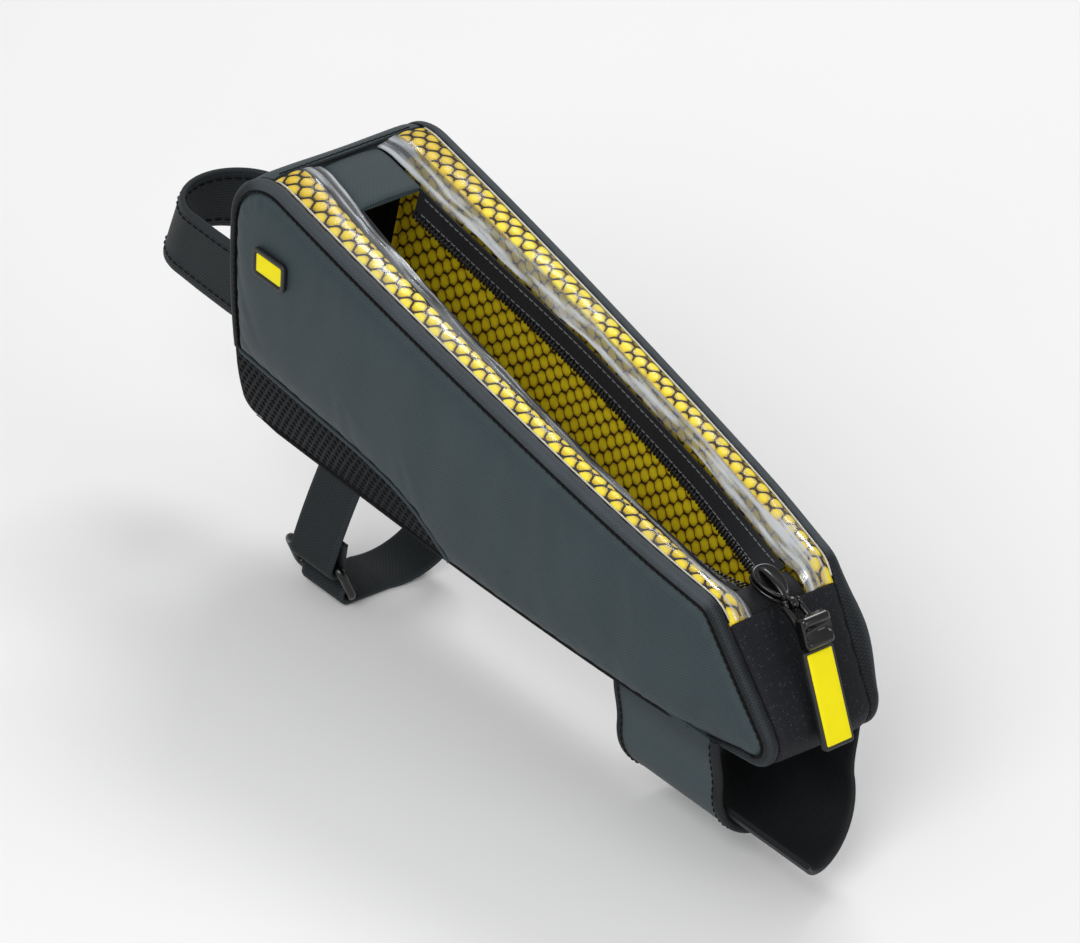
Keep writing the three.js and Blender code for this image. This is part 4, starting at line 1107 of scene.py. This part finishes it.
def tape_frame(x):
    """Start of the tape at each x, its way down to the coil and the way it faces."""
    top = cover_point(x, 1.0, -0.5) - (0, GAP, 0)
    inward = top[:, 1] - curve(MOUTH, "coil", x)
    down = np.sqrt(np.maximum(TAPE_WIDE**2 - inward**2, 1))
    along = join(0, -inward, -down) / TAPE_WIDE
    return top, along, join(0, along[:, 2], -along[:, 1])


def zip_tape(side):
    x = np.linspace(MOUTH_FRONT_X + GAP, MOUTH_REAR_X - GAP, 260)
    top, along, across = tape_frame(x)
    u = np.linspace(0, TAPE_WIDE - 0.7, 18)
    sway = 0.25 * np.sin(x / 9)[:, None] * u / TAPE_WIDE
    face = top[:, None] + along[:, None] * u[:, None]
    front, back = (face + across[:, None] * (thick + sway)[..., None] for thick in (TAPE_THICK, 0))
    shape = Shape().slab(front, back, join(x[:, None], u))
    tape = side_piece("tape", side, shape, tape_cloth, "zip_tape")
    coil = Shape()
    turn = np.linspace(0, 2 * np.pi, 10, endpoint=False)[:, None]
    u = TAPE_WIDE - COIL["inset"] + COIL["along"] * np.cos(turn)
    v = TAPE_THICK + COIL["lift"] + COIL["out"] * np.sin(turn)
    slant = COIL["slant"] * np.sin(turn) * (1, 0, 0)
    x = np.arange(MOUTH_FRONT_X + 1.2, MOUTH_REAR_X - 1.0, COIL["pitch"])
    for start, way, out in zip(*tape_frame(x)):
        coil.tube(start + way * u + out * v + slant, COIL["wire"], 5, closed=True, up=(1, 0, 0))
    rows = Shape()
    top, along, across = tape_frame(np.linspace(MOUTH_FRONT_X + 2, MOUTH_REAR_X - 3, 300))
    for u in TAPE_ROWS:
        stitch_row(rows, top + along * u + across * (TAPE_THICK + 0.05), across, **TAPE_STITCH)
    teeth = side_piece("coil", side, coil, coil_black)
    sewn = side_piece("tape_stitches", side, rows, pale_thread)
    return [tape, teeth, sewn]


# Mesh insets and lining

MESH_RECESS = 1.0
MESH_THICK = 2.0
MESH_REAR_X = -16.4
MESH_PITCH = (2.8, 2.1)
MESH_HOLE = (0.60, 0.74)
MESH_HEIGHT = 0.8
MESH_BEND_X = -100
MESH_BEND_Z = 30
HEM_TAPER = 3.0
mesh_line = Outline(0.3, GAP)


def mesh_relief(x, z):
    """Rows of upright oval holes, each row set off by half a hole."""
    down = (z + 0.05 * x) / MESH_PITCH[1]
    row = np.floor(down)
    over = x / MESH_PITCH[0] + 0.5 * (row % 2)
    across, up = 2 * (over - np.floor(over)) - 1, 2 * (down - row) - 1
    hole = 1 - (across / MESH_HOLE[0]) ** 2 - (up / MESH_HOLE[1]) ** 2
    return 1 - np.clip(1.5 * hole, 0, 1)


def mesh_inset(side):
    low_x = float(mesh_line.points[:, 0].min()) + 0.2
    x = low_x + (MESH_REAR_X - low_x) * (1 - (1 - np.linspace(0, 1, 300)[:, None]) ** 1.15)
    bend = mesh_line.points[(mesh_line.points[:, 0] < MESH_BEND_X) & (mesh_line.points[:, 1] < MESH_BEND_Z)]
    bend = bend[np.argsort(bend[:, 1])]
    under = bend[: int(np.argmin(bend[:, 0])) + 1][::-1]
    low = np.interp(x, *under.T, right=GAP)
    high = np.maximum(mesh_edge(x) - GAP / 2, low + 0.5)
    z = low + (high - low) * np.linspace(0, 1, 76)
    base = half_width(x, z) - MESH_RECESS
    relief = mesh_relief(x, z)
    flat_rim = (1 - np.exp(-np.minimum(z - low, high - z) / 0.7)) * (1 - np.exp(-(x - low_x) / 2.5))
    sag = 0.4 * np.sin(np.pi * (z - low) / (high - low))
    front = join(x, base + (relief - 0.55) * MESH_HEIGHT * flat_rim + sag, z)[:, ::-1]
    back = join(x, base - MESH_THICK, z)[:, ::-1]
    # The relief is also the colour mask: painted shade in the holes, painted highlight on the crowns.
    shape = Shape().slab(front, back, join(x, z)[:, ::-1], (relief * flat_rim)[:, ::-1])
    piece = side_piece("mesh", side, shape, mesh_black, "mesh_panel", sharp=80)
    edge_x = np.linspace(low_x + 1.7, MESH_REAR_X, 160)
    lead_in = ramped(edge_x - edge_x[0], 0, HEM_TAPER)
    line = on_side(join(edge_x, mesh_edge(edge_x) + 0.1), 0.8 * lead_in - 0.65)
    hem = Shape().tube(line, 0.25 + 0.3 * lead_in, 8)
    side_piece("mesh_hem", side, hem, coated)


LINING_INSET = 9
LINING_LIFT = 3.2
LINING_THICK = 0.8


def lining(side):
    """Yellow net lining, cut to the wall's inner face."""
    line = Outline(LINING_INSET, LINING_LIFT)
    xs = line.points[:, 0]
    x = np.linspace(float(xs.min()) + 0.5, float(xs.max()) - 1.5, 190)[:, None]
    z = LINING_LIFT + (line.height(x) - LINING_LIFT) * np.linspace(0, 1, 60)
    cell = cell_height(x, z, LINING_STEP, LINING_CELL)
    base = half_width(x, z) - PANEL_THICK - GAP
    sag = 0.5 * np.sin(x / 19) * np.sin(z / 13)
    front = join(x, base - LINING_THICK - 0.3 * cell - 0.2 - sag, z)
    shape = Shape().slab(front, join(x, base - 0.1, z), join(x, z), cell)
    piece = side_piece("lining_net", side, shape, lining_yellow, "lining")


# Straps

REAR_DROP = 16.4
ALONG_TUBE = np.array((1.0, 0.0, 0.0))


def strap_out(line, across):
    """The way a strap faces at each point of its line."""
    return unit(np.cross(unit(np.gradient(line, axis=0)), across))


def ribbon(shape, line, across, wide, thick, cells=12, fade=0.0):
    """Flat strap along a line with rounded edges; across is its width direction, fade a painted shade added
    to its tone.
    """
    across = unit(np.broadcast_to(np.asarray(across, float), line.shape))
    out = strap_out(line, across)
    turn = np.radians(np.linspace(-90, 90, 7))[1:-1]
    edge = thick / 2
    top = join(np.linspace(-0.5, 0.5, cells) * (wide - 2 * edge), edge)
    right = join(wide / 2 - edge + edge * np.cos(-turn), edge * np.sin(-turn))
    section = np.concatenate([top, right, top[::-1] * (1, -1), right[::-1] * (-1, 1)])
    rings = line[:, None] + across[:, None] * section[:, :1] + out[:, None] * section[:, 1:]
    cloth = join(running_length(line)[:, None], section[:, 0])
    rub = 0.5 * (abs(section[:, 0]) > wide / 2 - 1.2)
    return shape.sweep(rings, cloth, np.broadcast_to(fade, len(line))[:, None] + rub)


def on_tube(radius, degrees, drop):
    a = np.radians(degrees)
    return join(radius * np.cos(a), -drop + radius * np.sin(a))


def tube_line(sign, edge, strap, shift):
    """Line from the bag's lower edge on one side, round a circle below it to a stop angle."""
    touch = on_tube(strap["outer"], 0.0, REAR_DROP)
    t = np.linspace(0, 1, 14, endpoint=False)
    lead = edge + (touch - edge) * join(t * t * (3 - 2 * t), t)
    flat = np.concatenate([lead, on_tube(strap["outer"], -np.linspace(0, strap["stop"], 64), REAR_DROP)])
    return join(strap["middle"] + shift * np.linspace(0, 1, len(flat)), sign * flat[:, 0], flat[:, 1])


REAR_STRAP = dict(wide=44.0, thick=2.0, middle=75.0, outer=19.1, stop=128.0)
REAR_UNDER = dict(wide=52.0, thick=1.6, middle=82.0, outer=16.95, stop=152.0)
UNDER_SHIFT = 22.0
BINDING = 3.4
TUCKED = 1.4


def rear_strap():
    wide, thick = REAR_STRAP["wide"], REAR_STRAP["thick"]
    line = tube_line(-1, np.array((22.0, TUCKED)), REAR_STRAP, 0.0)
    # Painted shade: the flap is darker near the bag's edge and low down round the tube, lighter in between.
    from_middle = np.clip((line[:, 2] + REAR_DROP) / 14, -1, 1)
    shape = ribbon(Shape(), line, ALONG_TUBE, wide - 2, thick - 0.3, 30, 0.3 - 0.7 * from_middle**2)
    piece = make_piece("rear_flap", shape, coated, replaces=["rear_strap_outer"])
    bind, sewn = Shape(), Shape()
    out = strap_out(line, ALONG_TUBE)
    for side in (-1, 1):
        ribbon(bind, line + ALONG_TUBE * side * (wide - BINDING) / 2, ALONG_TUBE, BINDING, thick + 0.5, 8)
        row = line + ALONG_TUBE * side * (wide / 2 - BINDING + 0.8)
        for face in (-1, 1):
            stitch_row(sewn, row + out * (thick / 2 + 0.13) * face, out * face, **FLAP_STITCH)
    binding = make_piece("rear_flap_binding", bind, black_cloth)
    across = np.outer(np.linspace(-0.5, 0.5, 60) * (wide - 3), ALONG_TUBE)
    for k in (2, 4):
        stitch_row(sewn, line[k] - out[k] * (thick / 2 - 0.12) + across, -out[k], **FOOT_STITCH)
    threads = make_piece("rear_flap_stitches", sewn, thread)


def rear_strap_inner():
    wide = REAR_UNDER["wide"]
    line = tube_line(1, np.array((20.8, TUCKED)), REAR_UNDER, UNDER_SHIFT)
    shape = ribbon(Shape(), line, ALONG_TUBE, wide, REAR_UNDER["thick"], 30)
    piece = make_piece("rear_under", shape, black_cloth, replaces=["rear_strap_under"])


FRONT_STRAP = dict(drop=21.0, round=22.4, wide=19.0, thick=1.5, sewn_x=-69.5, ring_x=-75.6)
SEWN_END = (20.4, 2.2)
RING = dict(x=-77.0, degrees=215.0, lean=26.0, long=27.5, tall=14.5, bar=1.4, out=2.4, bend=2.2)
FOLD = dict(turn=2.5, short_lead=0.54, long_lead=1.1, tail=(3.0, -22.6, -20.0))
LONG_FROM = 264
ring_spot = on_tube(FRONT_STRAP["round"] + RING["out"], RING["degrees"], FRONT_STRAP["drop"])
ring_lean = math.radians(RING["lean"])
ring_down = np.array((math.sin(ring_lean), -math.cos(ring_lean)))
ring_out = np.array((ring_down[1], -ring_down[0]))


def fold_line(way, lead):
    """Strap end that goes round a ring bar to its inside; lead is how much earlier it meets the bar."""
    turn = np.linspace(-lead, math.pi, 20)[:, None]
    bar = ring_spot - way * (RING["tall"] / 2 - RING["bar"])
    round_bar = bar + (ring_out * np.cos(turn) + way * np.sin(turn)) * FOLD["turn"]
    return join(FRONT_STRAP["ring_x"], *round_bar.T)


def front_web(name, node, line, fade=0.0):
    shape = ribbon(Shape(), line, ALONG_TUBE, FRONT_STRAP["wide"], FRONT_STRAP["thick"], 16, fade)
    piece = make_piece(name, shape, webbing, replaces=[node])


def front_straps():
    ring_x, sewn_x = FRONT_STRAP["ring_x"], FRONT_STRAP["sewn_x"]
    fold = fold_line(ring_down, FOLD["short_lead"])
    t = np.linspace(0, 1, 16, endpoint=False)[:, None]
    start = np.array((sewn_x, -SEWN_END[0], SEWN_END[1]))
    lead = start + (fold[0] - start) * t
    lead[:, 1] -= 0.5 * np.sin(np.pi * t[:, 0])
    tail_end = np.array(FOLD["tail"]) + (ring_x, 0, 0)
    tail = fold[-1] + (tail_end - fold[-1]) * np.linspace(0, 1, 9)[1:, None]
    line = spaced(np.concatenate([lead, fold, tail]), 90)
    # Painted shade: the short strap's webbing is set darker than the long one's.
    front_web("front_web_short", "front_strap_short", line, -0.15)
    fold = fold_line(-ring_down, FOLD["long_lead"])[::-1]
    share = np.linspace(0, 1, 50)
    degrees = LONG_FROM + (360 - LONG_FROM) * share
    round_tube = on_tube(FRONT_STRAP["round"], degrees, FRONT_STRAP["drop"])
    body = join(ring_x + (sewn_x - ring_x) * share, *round_tube.T)
    rise = ((sewn_x, 22.3, -10.0), (sewn_x, 22.0, -1.5), (sewn_x, *SEWN_END))
    line = spaced(np.concatenate([fold, body, rise]), 150)
    front_web("front_web_long", "front_strap_long", line)


def ring_buckle():
    """Rectangular ring with round bars, lying on the strap's lower left."""
    bar = RING["bar"]
    loop = rounded_loop(RING["long"] - 2 * bar, RING["tall"] - 2 * bar, RING["bend"], 10)
    flat = spaced(np.concatenate([loop, loop[:1]]), 97)[:-1]
    place = join(RING["x"] + flat[:, 0], *(ring_spot - flat[:, 1:] * ring_down).T)
    shape = Shape().tube(place, bar, 16, closed=True, up=(0, *ring_out))
    make_piece("ring", shape, gloss_black, replaces=["ring_buckle"])


STEER = dict(x=-149.0, round=17.6, low=26.0, tall=24.0, thick=1.8, foot=18.4, lean=0.3)
STEER_ROW = 0.36


def steerer_loop():
    tall, thick = STEER["tall"], STEER["thick"]
    a = np.radians(np.linspace(0, 180, 60))
    bow = join(STEER["x"] - STEER["round"] * np.sin(a), -STEER["round"] * np.cos(a))
    front_x = OUTLINE["x"][0]
    near = np.array(((front_x + TUCKED, -STEER["foot"]), (-126, -18.6), (-138, -18.2)))
    flat = spaced(np.concatenate([near, bow, near[::-1] * (1, -1)]), 170)
    line = join(*flat.T, STEER["low"] + tall / 2)
    across = join(STEER["lean"] * np.minimum(1, (front_x - flat[:, 0]) / 40), 0, 1)
    shape = ribbon(Shape(), line, across, tall, thick, 18)
    piece = make_piece("steerer_web", shape, webbing, replaces=["steerer_strap"])
    sewn = Shape()
    out = strap_out(line, across)
    for row in (-STEER_ROW, STEER_ROW):
        for face in (-1, 1):
            path = line + unit(across) * (row * tall) + out * (face * (thick / 2 + 0.06))
            stitch_row(sewn, path, out * face, **LOOP_STITCH)
    threads = make_piece("steerer_stitches", sewn, thread)


# Side patch, slider and pull

PATCH = dict(x=-91.0, z=64.0, long=15.0, wide=9.5, round=2.2, tall=1.5, least=0.5)
PATCH_FACE = ((1.75, 0.6), (1.75, 1.05), (1.87, 1.2), (2.15, 1.28), (2.95, 1.36))


def plate_rings(loop_at, profile):
    """Sections of a plate: loop_at(inset) outlines set at the heights of an edge profile."""
    return np.stack([join(*loop_at(inset).T, height) for inset, height in profile])


def inset_loop(sizes):
    """Rounded rectangle of the given sizes, by how far it is moved in."""
    def loop(inset):
        radius = max(sizes["round"] - inset, sizes["least"])
        return rounded_loop(sizes["long"] - 2 * inset, sizes["wide"] - 2 * inset, radius)
    return loop


def dished_profile(tall, edge, rim, depth, steps=5):
    """Edge of a plate, rounded above and below, with a sunk floor inside a raised border."""
    a = np.radians(np.linspace(0, 90, steps))
    low = [(edge - edge * math.sin(t), edge - edge * math.cos(t)) for t in a]
    high = [(edge - edge * math.cos(t), tall - edge + edge * math.sin(t)) for t in a]
    return [*low, *high, (rim, tall), (rim + 0.25, tall - depth * 0.5), (rim + 0.4, tall - depth)]


def side_patch(side):
    """Plain rounded patch with a dark raised border, on the side wall near the front."""
    def shape(profile):
        rings = plate_rings(inset_loop(PATCH), profile)
        x, z = PATCH["x"] + rings[..., 0], PATCH["z"] + rings[..., 1]
        place = join(x, half_width(x, z) + PANEL_PUFF - 0.15 + rings[..., 2], z)
        return Shape().sweep(place).flipped()

    border = dished_profile(PATCH["tall"], 0.5, 1.25, 0.45)
    side_piece("patch_border", side, shape(border), satin_black)
    side_piece("patch_face", side, shape(PATCH_FACE), tab_yellow, "side_tab")


PIVOT = np.array((97.5, 0.0, 39.6))
ELBOW = np.array((106.5, 0.0, 36.5))
TAB_ANGLE = -1.117
ARM_ANGLE = -0.5
SLIDER = dict(x=88.8, z=41.7, half=6.6, wide=4.4, tilt=0.3)
SLIDER_PLATES = (
    ((0.90, -1.6), (0.97, -1.45), (0.99, -1.2), (0.97, -0.8), (0.92, -0.6)),
    ((0.90, 0.35), (0.97, 0.5), (1.0, 0.9), (0.98, 1.3), (0.92, 1.5), (0.85, 1.45), (0.78, 1.15),
     (0.7, 1.0), (0.1, 1.05)),
    ((0.45, -0.8), (0.45, 0.5)),
)
SLIDER_BRIDGE = ((-4.6, 0, 1.2), (-3.4, 0, 1.9), (0, 0, 2.1), (3.6, 0, 1.9), (6.2, 0, 1.0))
SLIDER_LUG = ((4.8, 0, -0.9), (7.0, 0, -1.7))
SLIDER_EYE = 1.75
HOOD = dict(long=9.2, wide=10.2, tall=4.6, round=1.4, back=4.2, sink=1.3)
HOOD_SCOOP = 2.3
ARM = ((0, 2.45, 0), (4.2, 2.6, 0.5), (8.0, 3.0, 0.4), (10.6, 3.2, -0.2))
ARM_EYE = 1.1
PIN_HALF = 2.9
TAB = dict(long=28.8, wide=11.0, tall=2.0, start=5.4, round=1.2, sink=1.1, least=0.3)
FACE = dict(long=26.6, wide=9.0, start=6.4, round=0.5, sink=TAB["sink"] - TAB["tall"], least=0.2)
FACE_PROFILE = ((0, -0.25), (0, 0.05), (0.12, 0.2), (0.35, 0.26), (1.5, 0.3))


def turned(points, angle, centre):
    """Local points (along, across, out) put in the side plane's frame that is turned by an angle."""
    along = np.array((math.cos(angle), 0, math.sin(angle)))
    out = np.array((-math.sin(angle), 0, math.cos(angle)))
    return centre + points[..., :1] * along + points[..., 1:2] * (0, -1, 0) + points[..., 2:] * out


def eye_ring(radius, across, count):
    """Circle round the pivot's axis."""
    a = np.linspace(0, 2 * np.pi, count, endpoint=False)
    return PIVOT + join(radius * np.cos(a), across, radius * np.sin(a))


def slider_loop(scale):
    """Rounded shield outline of the slider, broad at its front."""
    a = np.radians(np.linspace(0, 360, 56, endpoint=False))
    taper = 1 - 0.28 * np.cos(a)
    x = SLIDER["half"] * np.sign(np.cos(a)) * abs(np.cos(a)) ** 0.85
    return join(x * scale, SLIDER["wide"] * np.sin(a) * taper * scale * 0.98)


def zip_slider():
    centre = np.array((SLIDER["x"], 0, SLIDER["z"]))
    shape = Shape()
    for plate in SLIDER_PLATES:
        shape.sweep(turned(plate_rings(slider_loop, plate), -SLIDER["tilt"], centre))
    bridge = turned(rounded_line(SLIDER_BRIDGE, 30), -SLIDER["tilt"], centre)
    shape.tube(bridge, 1.0, 12, squash=0.55, up=(0, 0, 1))
    lug = [*(centre + np.array(SLIDER_LUG)), PIVOT]
    shape.tube(rounded_line(lug, 14), 1.25, 14)
    shape.tube(eye_ring(SLIDER_EYE, 0, 28), 0.6, 10, closed=True, squash=2.0, up=(0, 1, 0))
    make_piece("slider", shape, gloss_black, replaces=["zip_slider"])


def hood_rings():
    """Sections along the moulded hood, which is scooped out on top."""
    t = np.linspace(0, 1, 40)
    end = np.clip(np.minimum(t, 1 - t) * HOOD["long"] / HOOD["round"], 0, 1)
    swell = np.sqrt(np.maximum(1 - (1 - end) ** 2, 0.02))
    scoop = HOOD_SCOOP * np.sin(np.pi * ramped(t, 0.2, 0.82)) ** 1.4
    rings = []
    for share, full, low in zip(t, swell, scoop):
        wide, tall = HOOD["wide"] * (0.8 + 0.2 * full), HOOD["tall"] * (0.55 + 0.45 * full)
        across, up = rounded_loop(wide, tall, HOOD["round"] * full * 0.8 + 0.2, 7).T
        flat = np.clip(1 - (across / (HOOD["wide"] * 0.46)) ** 6, 0, 1)
        out = up + HOOD["tall"] / 2 - HOOD["sink"] - low * flat * (up > 0)
        rings.append(join(share * HOOD["long"] - HOOD["back"], across, out))
    return np.array(rings)


def tab_plate(sizes, profile):
    """Plate along the pull's tab, put in its place."""
    rings = plate_rings(inset_loop(sizes), profile)
    rings += (sizes["start"] + sizes["long"] / 2, 0, -sizes["sink"])
    return Shape().sweep(turned(rings, TAB_ANGLE, ELBOW))


def pull():
    """Hood with its arms on the pin, stiff dark tab, and the tab's yellow face."""
    link = Shape().sweep(turned(hood_rings(), TAB_ANGLE, ELBOW))
    for side in (-1, 1):
        wire = rounded_line(np.array(ARM) * (1, side, 1), 22)
        link.tube(turned(wire, ARM_ANGLE, PIVOT), np.linspace(0.95, 1.15, 22), 10)
        link.tube(eye_ring(ARM_EYE, side * ARM[0][1], 24), 0.62, 10, closed=True, up=(0, 1, 0))
    link.tube(PIVOT + np.outer(np.linspace(-PIN_HALF, PIN_HALF, 6), (0, 1, 0)), 1.0, 16)
    make_piece("pull_hood", link, gloss_black, "pull", ["pull_link"])
    tab = tab_plate(TAB, dished_profile(TAB["tall"], 0.55, 0.95, 0.3))
    make_piece("pull_strip", tab, satin_black, "pull", ["pull_tab"])
    face = tab_plate(FACE, FACE_PROFILE)
    make_piece("pull_strip_face", face, tab_yellow, "pull", ["pull_face"])


# Floor, light and camera

CAMERA = dict(place=(1323.5, -1233.7, 1178.0), aim=(-8.0, 0.0, 27.0), roll=4.6, lens=252.0)
FLOOR_DROP = 0.4
FLOOR_REACH = 6.0
FLOOR_CORNERS = ((-1, -1), (1, -1), (1, 1), (-1, 1))
LIGHT_AIM = (0, 0, 40)
LIGHTS = (
    ("key", (500, -1100, 1000), (900, 900), 13),
    ("glare", (-420, 620, 900), (520, 300), 4.5),
    ("rear_fill", (1300, 300, 500), (700, 500), 3),
)
SKY = dict(Color=(1.0, 1.0, 1.0, 1), Strength=0.5)


def facing(place, aim):
    return (Vector(aim) - Vector(place)).to_track_quat("-Z", "Y")


def area_light(name, place, size, watts):
    data = bpy.data.lights.new(name, "AREA")
    data.shape = "RECTANGLE"
    data.size, data.size_y = (s * MM for s in size)
    data.energy = watts
    light = bpy.data.objects.new(name, data)
    light.location = Vector(place) * MM
    light.rotation_euler = facing(place, LIGHT_AIM).to_euler()
    bpy.context.scene.collection.objects.link(light)


def studio():
    floor_z = cad_box[0].z - FLOOR_DROP * MM
    mesh = bpy.data.meshes.new("floor")
    points = [(x * FLOOR_REACH, y * FLOOR_REACH, floor_z) for x, y in FLOOR_CORNERS]
    mesh.from_pydata(points, [], [(0, 1, 2, 3)])
    pale = Surface("pale_floor")
    colour = pale.ramp(pale.noise(3, 3), (0.3, (0.84, 0.84, 0.84)), (0.7, (0.87, 0.87, 0.87)))
    mesh.materials.append(pale.finish(colour, 0.7))
    floor = bpy.data.objects.new("floor", mesh)
    bpy.context.scene.collection.objects.link(floor)
    world = bpy.data.worlds.new("studio")
    world.use_nodes = True
    for key, value in SKY.items():
        world.node_tree.nodes["Background"].inputs[key].default_value = value
    bpy.context.scene.world = world
    for light in LIGHTS:
        area_light(*light)
    bpy.context.scene.view_settings.view_transform = "Standard"


def camera():
    data = bpy.data.cameras.new("camera")
    data.sensor_width = 36
    data.lens = CAMERA["lens"]
    data.clip_start, data.clip_end = 0.1, 20
    turn = facing(CAMERA["place"], CAMERA["aim"]).to_matrix()
    turn = turn @ Matrix.Rotation(math.radians(CAMERA["roll"]), 3, "Z")
    eye = bpy.data.objects.new("camera", data)
    eye.matrix_world = Matrix.Translation(Vector(CAMERA["place"]) * MM) @ turn.to_4x4()
    bpy.context.scene.collection.objects.link(eye)
    bpy.context.scene.camera = eye


camera()
studio()
for side in SIDES:
    side_wall(side)
    edge_band(side)
    seam_cords(side)
    clear_film(side, net_strip(side) + zip_tape(side))
    mesh_inset(side)
    lining(side)
    side_patch(side)
wall_ends = outer.starts[FOOT_ARC], outer.starts[REAR_FOOT + 1]
end_wall("front_wall", "front_panel", wall_ends[0], seam_s, 0.4, coated, front_folds)
end_wall("rear_wall", "rear_panel", rear_s, wall_ends[1], 0.8, rear_cloth, rear_folds)
base_floor()
cover_middle("garage", "zip_garage", SEAM_X + GAP, MOUTH_FRONT_X, 1.6, 0.0, coated, 0.5)
cover_middle("zip_foot", "zip_end", MOUTH_REAR_X, COVER_REAR_X, 1.0, 0.6, tape_cloth, 0.1)
cross_seam()
rear_strap()
rear_strap_inner()
front_straps()
ring_buckle()
steerer_loop()
zip_slider()
pull()
